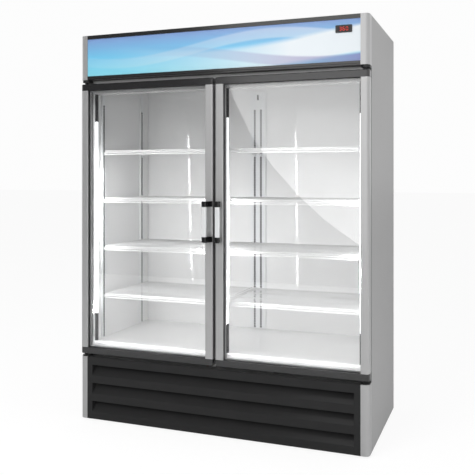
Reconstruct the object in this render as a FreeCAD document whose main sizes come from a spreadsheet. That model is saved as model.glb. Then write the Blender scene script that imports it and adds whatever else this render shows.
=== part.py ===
import FreeCAD, Part
import math
import os
import types

import Sketcher

# Driving sizes, in millimetres and degrees. Places are worked out from these further down.
SIZES = {
    # Whole cabinet with its doors shut, and the zones of its front
    "cabinet_width": 1514,
    "cabinet_depth": 736,
    "cabinet_height": 2000,
    "foot_height": 8,
    "kick_height": 322,
    "hinge_gap": 15,
    "head_gap": 22,
    "header_height": 231,
    # Sheets and insulated walls
    "shell_sheet": 1.2,
    "shell_return": 14,
    "liner_sheet": 1,
    "side_wall": 44,
    "rear_wall": 72,
    "roof_wall": 70,
    "floor_wall": 56,
    "head_wall": 46,
    "sill_height": 55,
    "head_overlap": 47,
    "frame_thickness": 6,
    "mullion_width": 70,
    "mullion_depth": 48,
    "mullion_radius": 4,
    "post_width": 40,
    "post_radius": 22,
    # Base pan, feet and rear cover
    "rear_recess": 6,
    "pan_sheet": 2,
    "pan_edge": 30,
    "foot_radius": 25,
    "foot_stem_radius": 6,
    "foot_stem_length": 40,
    "foot_inset": 90,
    "foot_clearance": 0.2,
    "vent_height": 9,
    "vent_pitch": 44,
    "vent_rise": 70,
    "vent_side_inset": 183,
    "vent_middle_gap": 300,
    "screw_radius": 5,
    "screw_height": 3,
    "screw_inset": 20,
    "inlet_radius": 16,
    "inlet_flange": 4,
    "inlet_neck": 11,
    "inlet_bore": 5,
    "inlet_length": 18,
    "inlet_side_inset": 150,
    "inlet_rise": 60,
    # Header
    "trim_top_height": 20,
    "trim_bottom_height": 18,
    "trim_depth": 14,
    "trim_step": 4,
    "trim_step_height": 6,
    "trim_round": 2,
    "sign_thickness": 3,
    "sign_setback": 4,
    "sign_grip": 6,
    "header_tube_radius": 8,
    "header_tube_inset": 90,
    "header_holder_width": 24,
    "header_holder_height": 30,
    "header_holder_depth": 26,
    "display_width": 77,
    "display_height": 35,
    "display_lip": 3,
    "display_bevel": 3,
    "display_side_inset": 117,
    "display_top_inset": 64,
    "display_body_depth": 30,
    "display_body_margin": 4,
    # Kick grille
    "grille_depth": 50,
    "grille_border": 30,
    "louver_pitch": 94,
    "louver_first_drop": 41,
    "louver_recess": 47,
    "louver_rise": 54,
    "louver_sheet": 2.5,
    # Doors
    "door_thickness": 46,
    "door_gap": 14,
    "stile_width": 40,
    "rail_height": 34,
    "stile_radius": 16,
    "edge_radius": 5,
    "rail_bevel": 3,
    "glass_setback": 22,
    "glass_unit": 18,
    "pane_thickness": 4,
    "pocket_depth": 10,
    "gasket_thickness": 11.7,
    "gasket_base": 4,
    "gasket_base_width": 18,
    "gasket_bulb_width": 10,
    "gasket_inset": 8,
    "gasket_hinge_inset": 24,
    "seal_gap": 0.3,
    "hinge_side_inset": 22,
    "hinge_front_inset": 22,
    "hinge_plate": 5,
    "hinge_plate_width": 40,
    "hinge_plate_setback": 6,
    "hinge_plate_bevel": 12,
    "pin_radius": 5,
    "pin_reach": 20,
    "pin_clearance": 0.05,
    "bush_wall": 4,
    "collar_gap": 0.3,
    "handle_height": 200,
    "handle_rise": 706,
    "handle_reach": 50,
    "bracket_height": 27,
    "bracket_width": 26,
    "bracket_inset": 1,
    "bracket_lean": 13,
    "bracket_straight": 20,
    "bracket_radius": 8,
    "bar_width": 22,
    "bar_depth": 14,
    "bar_radius": 5,
    # Lamps beside the opening
    "lamp_width": 14,
    "lamp_depth": 16,
    "lamp_bevel": 5,
    "lamp_setback": 4,
    "lamp_tube_radius": 6,
    "lamp_cover_length": 145,
    # Shelf standards, clips and shelves
    "standard_depth": 10,
    "standard_width": 28,
    "centre_standard_width": 95,
    "standard_rise": 6,
    "standard_top_gap": 44,
    "slot_width": 9,
    "slot_height": 28,
    "slot_depth": 4,
    "slot_column": 18.5,
    "slot_rise": 30,
    "front_standard_setback": 142,
    "rear_standard_inset": 96,
    "top_bay": 387,
    "lowest_shelf": 245,
    "shelf_side_gap": 30,
    "shelf_centre_gap": 10,
    "shelf_setback": 122,
    "shelf_rear_gap": 63,
    "shelf_bar": 6,
    "shelf_strip": 12,
    "shelf_lip": 25,
    "wire_radius": 2.2,
    "wire_gap": 0.2,
    "cross_rod": 5,
    "clip_width": 8,
    "clip_plate": 4,
    "clip_height": 16,
    "clip_overlap": 8,
    # Condensing unit in the machine bay
    "condenser_width": 420,
    "condenser_height": 280,
    "condenser_depth": 55,
    "condenser_side_inset": 130,
    "condenser_setback": 14,
    "fin_pitch": 66,
    "fin_thickness": 10,
    "fin_depth": 18,
    "shroud_depth": 24,
    "shroud_wall": 3,
    "condenser_fan_radius": 110,
    "condenser_fan_clearance": 8,
    "fan_hub_radius": 24,
    "fan_hub_length": 26,
    "fan_shaft_radius": 4,
    "fan_shaft_clearance": 0.05,
    "fan_blade_thickness": 2,
    "fan_root_width": 26,
    "fan_tip_width": 72,
    "fan_pitch_angle": 20,
    "fan_end_gap": 6,
    "motor_radius": 42,
    "motor_length": 64,
    "motor_strap": 6,
    "motor_strap_height": 30,
    "strap_foot": 18,
    "compressor_radius": 92,
    "compressor_height": 215,
    "compressor_dome": 62,
    "compressor_foot": 24,
    "compressor_side_inset": 560,
    "compressor_rear_inset": 250,
    "line_radius": 5,
    "line_bend": 28,
    "line_rise": 42,
    "tray_width": 300,
    "tray_depth": 240,
    "tray_height": 60,
    "tray_wall": 3,
    "tray_side_inset": 130,
    "tray_rear_inset": 90,
    "control_width": 220,
    "control_depth": 120,
    "control_height": 200,
    "control_side_inset": 110,
    "control_setback": 20,
    "control_bevel": 8,
    # Evaporator under the ceiling
    "evaporator_width": 1120,
    "evaporator_depth": 320,
    "evaporator_height": 138,
    "evaporator_rear_gap": 20,
    "evaporator_coil_depth": 90,
    "evaporator_coil_height": 118,
    "evaporator_coil_inset": 30,
    "evaporator_fan_radius": 92,
    "evaporator_fan_clearance": 8,
    "evaporator_fan_offset": 280,
    "evaporator_fan_setback": 115,
    "evaporator_motor_radius": 36,
    "evaporator_motor_length": 68,
    # One overrun for every cut that passes a face
    "overrun": 5,
}
LOUVERS = 3
SHELVES = 4
SLOTS_PER_SHELF = 1
SHELF_WIRES = 9
FAN_BLADES = 5
VENT_ROWS = 5
SIDES = {"left": -1, "right": 1}
WIRE_SIDES = 4
TUBE_SIDES = 6
HEXAGON_SIDES = 6
LAMP_SIDES = 8
MOTOR_SIDES = 12
CAN_SIDES = 16
THROAT_SIDES = 24
FULL_TURN = 360
BLADE_ROOT_SHARE = 0.7
STRAIGHT = True
CROSS_ROD_SHARES = (1 / 3, 2 / 3)
DIAGONAL_SHARE = math.sqrt(0.5)
SAME_PLACE = 0.05

document = FreeCAD.newDocument("refrigerated_merchandiser")
sheet = document.addObject("Spreadsheet::Sheet", "sizes")
for row, (alias, number) in enumerate(SIZES.items(), start=1):
    sheet.set(f"A{row}", alias)
    sheet.set(f"B{row}", str(number))
    sheet.setAlias(f"B{row}", alias)
document.recompute()


def worth(item):
    return item.value if isinstance(item, Size) else item


class Size:
    """A length from the sheet or worked out from several: text for expressions, value for points."""

    def __init__(self, text, value):
        self.text = text
        self.value = value

    def joined(self, sign, other, value):
        text = other.text if isinstance(other, Size) else str(other)
        return Size(f"({self.text} {sign} {text})", value)

    def __add__(self, other):
        return self.joined("+", other, self.value + worth(other))

    def __sub__(self, other):
        return self.joined("-", other, self.value - worth(other))

    def __mul__(self, other):
        return self.joined("*", other, self.value * worth(other))

    def __truediv__(self, other):
        return self.joined("/", other, self.value / worth(other))

    def __neg__(self):
        return self * -1


ZERO = Size("0", 0)
size = types.SimpleNamespace(**{alias: Size(f"sizes.{alias}", float(sheet.get(alias))) for alias in SIZES})
nodes = []


def node(label, item):
    """Gives a finished sub-part its own name and puts it on the list to be written."""
    item.Label = label
    nodes.append(item)
    return item


def between(first, second):
    """Two places in rising order."""
    return (first, second) if first.value < second.value else (second, first)


def about(centre, width):
    return centre - width / 2, centre + width / 2


def block(name, across, deep, tall):
    """A box between pairs of places along X, Y and Z."""
    solid = document.addObject("Part::Box", name)
    for edge, axis, (low, high) in zip(("Length", "Width", "Height"), "xyz", (across, deep, tall)):
        solid.setExpression(edge, (high - low).text)
        solid.setExpression(f"Placement.Base.{axis}", low.text)
    return solid


UPRIGHT = FreeCAD.Rotation()
QUARTER_TURN = FULL_TURN / 4
ALONG = {
    "x": FreeCAD.Rotation(FreeCAD.Vector(0, 1, 0), QUARTER_TURN),
    "y": FreeCAD.Rotation(FreeCAD.Vector(1, 0, 0), -QUARTER_TURN),
    "z": UPRIGHT,
}


def put(item, start, turn=UPRIGHT):
    """Turns an item and ties its place to the sheet."""
    item.Placement = FreeCAD.Placement(FreeCAD.Vector(), turn)
    for axis, place in zip("xyz", start):
        item.setExpression(f"Placement.Base.{axis}", place.text)


def rod(name, axis, radius, start, length):
    """A round bar from a start point along an axis."""
    solid = document.addObject("Part::Cylinder", name)
    solid.setExpression("Radius", radius.text)
    solid.setExpression("Height", length.text)
    put(solid, start, ALONG[axis])
    return solid


def gather(name, members):
    """Separate solids that share one sub-part."""
    group = document.addObject("Part::Compound", name)
    group.Links = members
    return group


def cut(name, base, *tools):
    result = document.addObject("Part::Cut", name)
    result.Base = base
    result.Tool = tools[0] if len(tools) == 1 else gather(f"{name}_tools", list(tools))
    return result


def fuse(name, *members):
    result = document.addObject("Part::MultiFuse", name)
    result.Shapes = list(members)
    result.Refine = True
    return result


def draw(sketch, corners):
    """A closed outline of lines. A square corner with a third value is rounded by it, or cut straight."""
    turns = []
    count = len(corners)
    for index, corner in enumerate(corners):
        x, y = corner[:2]
        if len(corner) == 2:
            turns.append(((x, y), (x, y), None))
            continue
        radius = corner[2]
        ends = []
        for other in (corners[index - 1], corners[(index + 1) % count]):
            run = other[0].value - x.value
            rise = other[1].value - y.value
            flat = abs(run) > abs(rise)
            way = math.copysign(1, run if flat else rise)
            ends.append((x + radius * way, y) if flat else (x, y + radius * way))
        turns.append((ends[0], ends[1], radius))

    def hold(geometry, end, point):
        for kind, place in zip(("DistanceX", "DistanceY"), point):
            number = sketch.addConstraint(Sketcher.Constraint(kind, geometry, end, place.value))
            sketch.setExpression(f"Constraints[{number}]", place.text)

    def vector(point):
        return FreeCAD.Vector(point[0].value, point[1].value, 0)

    lines = []
    for index, (_, start, _) in enumerate(turns):
        finish = turns[(index + 1) % count][0]
        lines.append(sketch.addGeometry(Part.LineSegment(vector(start), vector(finish)), False))
        hold(lines[-1], 1, start)
    for index, (entry, leave, radius) in enumerate(turns):
        before, after = lines[index - 1], lines[index]
        if radius is None:
            sketch.addConstraint(Sketcher.Constraint("Coincident", before, 2, after, 1))
            continue
        hold(before, 2, entry)
        if STRAIGHT in corners[index][3:]:
            bevel = sketch.addGeometry(Part.LineSegment(vector(entry), vector(leave)), False)
            sketch.addConstraint(Sketcher.Constraint("Coincident", bevel, 1, before, 2))
            sketch.addConstraint(Sketcher.Constraint("Coincident", bevel, 2, after, 1))
            continue
        corner = FreeCAD.Vector(corners[index][0].value, corners[index][1].value, 0)
        arriving = corner - vector(entry)
        leaving = vector(leave) - corner
        centre = vector(entry) + leaving
        left_turn = arriving.cross(leaving).z > 0
        first, last = (vector(entry), vector(leave)) if left_turn else (vector(leave), vector(entry))
        angles = [math.atan2(point.y - centre.y, point.x - centre.x) for point in (first, last)]
        circle = Part.Circle(centre, FreeCAD.Vector(0, 0, 1), radius.value)
        arc = sketch.addGeometry(Part.ArcOfCircle(circle, *angles), False)
        begin, end = (1, 2) if left_turn else (2, 1)
        sketch.addConstraint(Sketcher.Constraint("Coincident", arc, begin, before, 2))
        sketch.addConstraint(Sketcher.Constraint("Coincident", arc, end, after, 1))
        number = sketch.addConstraint(Sketcher.Constraint("Radius", arc, radius.value))
        sketch.setExpression(f"Constraints[{number}]", radius.text)


SKETCH_PLANES = {"x": "YZ_Plane", "y": "XZ_Plane", "z": "XY_Plane"}


def sketched(name, axis, corners):
    """A body with an outline drawn square to an axis."""
    body = document.addObject("PartDesign::Body", name)
    plane = next(item for item in body.Origin.OriginFeatures if item.Role == SKETCH_PLANES[axis])
    sketch = body.newObject("Sketcher::SketchObject", f"{name}_outline")
    sketch.AttachmentSupport = [(plane, "")]
    sketch.MapMode = "FlatFace"
    draw(sketch, corners)
    return body, sketch


def pad(name, axis, corners, ends):
    """An outline run along an axis between two places."""
    body, sketch = sketched(name, axis, corners)
    run = body.newObject("PartDesign::Pad", f"{name}_run")
    run.Profile = sketch
    run.Reversed = axis == "y"
    run.setExpression("Length", (ends[1] - ends[0]).text)
    body.setExpression(f"Placement.Base.{axis}", ends[0].text)
    return body


def bevel(body, width, chosen):
    """Cuts back the edges of a body that a test picks out."""
    document.recompute()
    last = body.Tip
    numbered = enumerate(last.Shape.Edges, start=1)
    names = [f"Edge{number}" for number, edge in numbered if chosen(edge.BoundBox)]
    edges = body.newObject("PartDesign::Chamfer", f"{body.Name}_bevel")
    edges.Base = (last, names)
    edges.setExpression("Size", width.text)
    return body


def regular(across, up, radius, sides=HEXAGON_SIDES):
    """Corners of a regular outline about a point."""
    turns = [2 * math.pi * side / sides for side in range(sides)]
    return [(across + radius * math.cos(turn), up + radius * math.sin(turn)) for turn in turns]


def feature(name, shape):
    """A sub-part whose shape is worked out in code from the sheet's values."""
    item = document.addObject("Part::Feature", name)
    item.Shape = shape
    return item


# Places shared by the whole cabinet. The origin is under the middle, front faces look along -Y.
half_width = size.cabinet_width / 2
front = (size.handle_reach - size.cabinet_depth) / 2
rear = front + size.cabinet_depth
base_level = size.foot_height
top_level = base_level + size.cabinet_height
kick_top = base_level + size.kick_height
door_bottom = kick_top + size.hinge_gap
header_bottom = top_level - size.header_height
door_top = header_bottom - size.head_gap
door_back = front + size.door_thickness
shell_front = door_back + size.gasket_thickness + size.seal_gap
frame_back = shell_front + size.frame_thickness
cavity_side = half_width - size.side_wall
cavity_rear = rear - size.rear_wall
cavity_ceiling = top_level - size.roof_wall
cavity_floor = door_bottom + size.sill_height
deck_level = cavity_floor - size.floor_wall
opening_top = door_top - size.head_overlap
head_back = shell_front + size.head_wall
shell_inside = half_width - size.shell_sheet
post_inside = half_width - size.post_width
rear_outside = rear - size.rear_recess
rear_inside = rear_outside - size.shell_sheet
roof_underside = top_level - size.shell_sheet
liner_side = cavity_side + size.liner_sheet
liner_rear = cavity_rear + size.liner_sheet
liner_roof = cavity_ceiling + size.liner_sheet
liner_floor = cavity_floor - size.liner_sheet
pan_top = base_level + size.pan_sheet
evaporator_bottom = cavity_ceiling - size.evaporator_height


def across(reach):
    """A span from left to right about the middle."""
    return -reach, reach


# Shell: folded side panels, top sheet, rear sheet and the vented cover of the machine bay
for word, side in SIDES.items():
    outer = half_width * side
    inner = shell_inside * side
    fold = (shell_inside - size.shell_return) * side
    outline = (
        (outer, shell_front),
        (fold, shell_front),
        (fold, shell_front + size.shell_sheet),
        (inner, shell_front + size.shell_sheet),
        (inner, rear),
        (outer, rear),
    )
    node(f"{word}_side_panel", pad(f"{word}_side_panel", "z", outline, (base_level, roof_underside)))
node("top_panel", block("top_panel", across(half_width), (shell_front, rear), (roof_underside, top_level)))
back_sheet = (rear_inside, rear_outside)
node("rear_panel", block("rear_panel", across(shell_inside), back_sheet, (deck_level, roof_underside)))

vents = []
for column in SIDES.values():
    for row in range(VENT_ROWS):
        level = base_level + size.vent_rise + size.vent_pitch * row
        vents.append(block(
            f"vent_{column + 1}_{row}",
            between(size.vent_middle_gap / 2 * column, (half_width - size.vent_side_inset) * column),
            (rear_inside - size.overrun, rear + size.overrun),
            (level, level + size.vent_height),
        ))
inlet_x = half_width - size.inlet_side_inset
inlet_z = base_level + size.inlet_rise
inlet_start = rear_inside - size.inlet_length
inlet_end = rear_outside + size.inlet_flange
neck_outline = regular(inlet_x, inlet_z, size.inlet_neck)
inlet_hole = pad("inlet_hole", "y", neck_outline, (inlet_start, inlet_end))
cover_sheet = block("cover_sheet", across(shell_inside), back_sheet, (base_level, deck_level))
node("rear_machine_cover", cut("rear_machine_cover", cover_sheet, inlet_hole, *vents))
inlet_body = fuse(
    "inlet_body",
    pad("inlet_neck", "y", neck_outline, (inlet_start, inlet_end)),
    pad("inlet_flange", "y", regular(inlet_x, inlet_z, size.inlet_radius), (rear_outside, inlet_end)),
)
bore_place = (inlet_x, inlet_start, inlet_z)
inlet_bore = rod("inlet_bore", "y", size.inlet_bore, bore_place, inlet_end - inlet_start)
node("cord_inlet", cut("cord_inlet", inlet_body, inlet_bore))
screws = []
for column in (-1, 0, 1):
    for level in (base_level + size.screw_inset, deck_level - size.screw_inset):
        outline = regular((shell_inside - size.screw_inset) * column, level, size.screw_radius)
        ends = (rear_outside, rear_outside + size.screw_height)
        screws.append(pad(f"screw_{len(screws)}", "y", outline, ends))
node("rear_cover_screws", gather("rear_cover_screws", screws))

# Base: folded pan on four levelling feet whose stems pass through it
foot_x = half_width - size.foot_inset
foot_rows = (frame_back + size.foot_inset, rear - size.foot_inset)
feet = []
stem_holes = []
for side in SIDES.values():
    for row, foot_y in enumerate(foot_rows):
        place = (foot_x * side, foot_y)
        pad_outline = regular(*place, size.foot_radius)
        stem_outline = regular(*place, size.foot_stem_radius)
        hole_outline = regular(*place, size.foot_stem_radius + size.foot_clearance)
        stem_ends = (ZERO, size.foot_stem_length)
        feet.append(fuse(
            f"foot_{side + 1}_{row}",
            pad(f"foot_pad_{side + 1}_{row}", "z", pad_outline, (ZERO, size.foot_height)),
            pad(f"foot_stem_{side + 1}_{row}", "z", stem_outline, stem_ends),
        ))
        stem_holes.append(pad(f"stem_hole_{side + 1}_{row}", "z", hole_outline, stem_ends))
node("levelling_feet", gather("levelling_feet", feet))
pan_body = block(
    "pan_body", across(shell_inside), (frame_back, rear_inside), (base_level, base_level + size.pan_edge)
)
pan_hollow = block(
    "pan_hollow",
    across(shell_inside - size.pan_sheet),
    (frame_back + size.pan_sheet, rear_inside - size.pan_sheet),
    (pan_top, base_level + size.pan_edge + size.overrun),
)
node("base_pan", cut("base_pan", cut("pan_tray", pan_body, pan_hollow), *stem_holes))

# Insulation: foam slabs between shell and liner, with a hanging slab above the door opening
slabs = [
    block(
        f"{word}_foam",
        between(shell_inside * side, liner_side * side),
        (frame_back, rear_inside),
        (deck_level, roof_underside),
    )
    for word, side in SIDES.items()
]
slab_height = (deck_level, roof_underside)
slabs.append(block("rear_foam", across(liner_side), (liner_rear, rear_inside), slab_height))
slabs.append(block("roof_foam", across(liner_side), (frame_back, liner_rear), (liner_roof, roof_underside)))
slabs.append(block("floor_foam", across(liner_side), (frame_back, liner_rear), (deck_level, liner_floor)))
head_foam_back = head_back - size.liner_sheet
head_foam_bottom = opening_top + size.liner_sheet
head_foam_depth = (frame_back, head_foam_back)
slabs.append(block("head_foam", across(liner_side), head_foam_depth, (head_foam_bottom, liner_roof)))
node("insulation", gather("insulation", slabs))

# Liner: white sheet box, open at the door opening and folded under the hanging slab
liner_body = block("liner_body", across(liner_side), (frame_back, liner_rear), (liner_floor, liner_roof))
liner_room = block(
    "liner_room", across(cavity_side), (head_back, cavity_rear), (cavity_floor, cavity_ceiling)
)
liner_mouth = block(
    "liner_mouth", across(cavity_side), (frame_back - size.overrun, head_back), (cavity_floor, opening_top)
)
liner_head = block(
    "liner_head",
    across(liner_side),
    (frame_back - size.overrun, head_foam_back),
    (head_foam_bottom, liner_roof + size.overrun),
)
liner_open = cut("liner_open", liner_body, liner_room)
node("inner_liner", cut("inner_liner", cut("liner_mouthed", liner_open, liner_mouth), liner_head))

# Front frame: the flat sealing face round the opening, in four strips, and the mullion between the doors
strips = [
    block(
        f"{word}_jamb",
        between((shell_inside - size.shell_return) * side, cavity_side * side),
        (shell_front, frame_back),
        (kick_top, header_bottom),
    )
    for word, side in SIDES.items()
]
strips.append(block("sill", across(cavity_side), (shell_front, frame_back), (kick_top, cavity_floor)))
strips.append(block("head", across(cavity_side), (shell_front, frame_back), (opening_top, header_bottom)))
node("front_frame", gather("front_frame", strips))
mullion_side = size.mullion_width / 2
mullion_back = shell_front + size.mullion_depth
mullion_outline = (
    (-mullion_side, shell_front, size.mullion_radius),
    (mullion_side, shell_front, size.mullion_radius),
    (mullion_side, mullion_back),
    (-mullion_side, mullion_back),
)
node("center_mullion", pad("center_mullion", "z", mullion_outline, (cavity_floor, opening_top)))

# Corner posts: rounded uprights beside the kick grille and beside the header
posts = []
for word, side in SIDES.items():
    for zone, ends in (("kick", (base_level, kick_top)), ("header", (header_bottom, top_level))):
        outline = (
            (half_width * side, front, size.post_radius),
            (half_width * side, shell_front),
            (post_inside * side, shell_front),
            (post_inside * side, front),
        )
        posts.append(pad(f"{word}_{zone}_post", "z", outline, ends))
node("corner_posts", gather("corner_posts", posts))

# Header: folded light box, black trims that grip the sign, tube lamp and temperature display
sign_face = front + size.sign_setback
sign_back = sign_face + size.sign_thickness
trim_back = front + size.trim_depth
top_trim_bottom = top_level - size.trim_top_height
bottom_trim_top = header_bottom + size.trim_bottom_height
box_front = front + size.trim_depth
housing_outline = (
    (box_front, header_bottom),
    (frame_back, header_bottom),
    (frame_back, roof_underside),
    (box_front, roof_underside),
    (box_front, roof_underside - size.shell_sheet),
    (frame_back - size.shell_sheet, roof_underside - size.shell_sheet),
    (frame_back - size.shell_sheet, header_bottom + size.shell_sheet),
    (box_front, header_bottom + size.shell_sheet),
)
node("header_housing", pad("header_housing", "x", housing_outline, across(post_inside)))
top_trim_outline = (
    (front, top_level, size.trim_round),
    (front, top_trim_bottom),
    (sign_face, top_trim_bottom),
    (sign_face, top_trim_bottom + size.sign_grip),
    (sign_back, top_trim_bottom + size.sign_grip),
    (sign_back, top_trim_bottom),
    (trim_back, top_trim_bottom),
    (trim_back, top_level),
)
step_top = header_bottom + size.trim_step_height
bottom_trim_outline = (
    (front + size.trim_step, header_bottom),
    (front + size.trim_step, step_top),
    (front, step_top, size.trim_round),
    (front, bottom_trim_top),
    (sign_face, bottom_trim_top),
    (sign_face, bottom_trim_top - size.sign_grip),
    (sign_back, bottom_trim_top - size.sign_grip),
    (sign_back, bottom_trim_top),
    (trim_back, bottom_trim_top),
    (trim_back, header_bottom),
)
trims = [
    pad("top_trim", "x", top_trim_outline, across(post_inside)),
    pad("bottom_trim", "x", bottom_trim_outline, across(post_inside)),
]
node("header_trims", gather("header_trims", trims))

display_x = half_width - size.display_side_inset
display_z = top_level - size.display_top_inset
body_width = size.display_width - size.display_body_margin * 2
body_height = size.display_height - size.display_body_margin * 2
sign_sheet = block(
    "sign_sheet",
    across(post_inside),
    (sign_face, sign_back),
    (bottom_trim_top - size.sign_grip, top_trim_bottom + size.sign_grip),
)
display_hole = block(
    "display_hole",
    about(display_x, body_width),
    (sign_face - size.overrun, sign_back + size.overrun),
    about(display_z, body_height),
)
node("header_sign", cut("header_sign", sign_sheet, display_hole))
bezel_x = about(display_x, size.display_width)
bezel_z = about(display_z, size.display_height)
bezel_outline = (
    (bezel_x[0], bezel_z[0], size.display_bevel, STRAIGHT),
    (bezel_x[1], bezel_z[0], size.display_bevel, STRAIGHT),
    (bezel_x[1], bezel_z[1], size.display_bevel, STRAIGHT),
    (bezel_x[0], bezel_z[1], size.display_bevel, STRAIGHT),
)
bezel = pad("display_bezel_plate", "y", bezel_outline, (sign_face - size.display_lip, sign_face))
display_body = block(
    "display_body",
    about(display_x, body_width),
    (sign_face, sign_face + size.display_body_depth),
    about(display_z, body_height),
)
node("temperature_display", fuse("temperature_display", bezel, display_body))

lamp_line = frame_back - size.shell_sheet - size.header_holder_depth / 2
lamp_level = (top_trim_bottom + bottom_trim_top) / 2
holder_inside = post_inside - size.header_tube_inset
tube_outline = regular(lamp_line, lamp_level, size.header_tube_radius, LAMP_SIDES)
header_lamp = [pad("header_tube", "x", tube_outline, across(holder_inside))]
for word, side in SIDES.items():
    header_lamp.append(block(
        f"{word}_header_holder",
        between(holder_inside * side, (holder_inside + size.header_holder_width) * side),
        about(lamp_line, size.header_holder_depth),
        about(lamp_level, size.header_holder_height),
    ))
node("header_lamp", gather("header_lamp", header_lamp))

# Kick grille: folded louver blades between bordered ends, under a plain fascia
slot_end = post_inside - size.grille_border
blade_back = front + size.louver_sheet
recess = front + size.louver_recess
first_slot = kick_top - size.louver_first_drop
lip_radius = size.louver_sheet / 2
fascia_outline = (
    (front, first_slot, lip_radius),
    (front, kick_top, lip_radius),
    (front + size.grille_depth, kick_top),
    (front + size.grille_depth, kick_top - size.louver_sheet),
    (blade_back, kick_top - size.louver_sheet),
    (blade_back, first_slot),
)
grille = [pad("grille_fascia", "x", fascia_outline, across(slot_end))]
for number in range(LOUVERS):
    slot = first_slot - size.louver_pitch * number
    knee = slot - size.louver_rise
    lip = slot - size.louver_pitch if number < LOUVERS - 1 else base_level
    outline = (
        (front, lip, lip_radius),
        (front, knee),
        (recess, slot),
        (recess, slot - size.louver_sheet * 2),
        (blade_back, knee - size.louver_sheet),
        (blade_back, lip),
    )
    grille.append(pad(f"louver_{number}", "x", outline, across(slot_end)))
for word, side in SIDES.items():
    wall = (slot_end + size.louver_sheet) * side
    outline = (
        (post_inside * side, front),
        (slot_end * side, front),
        (slot_end * side, front + size.grille_depth),
        (wall, front + size.grille_depth),
        (wall, blade_back),
        (post_inside * side, blade_back),
    )
    grille.append(pad(f"{word}_grille_end", "z", outline, (base_level, kick_top)))
node("front_grille", fuse("front_grille", *grille))

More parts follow.
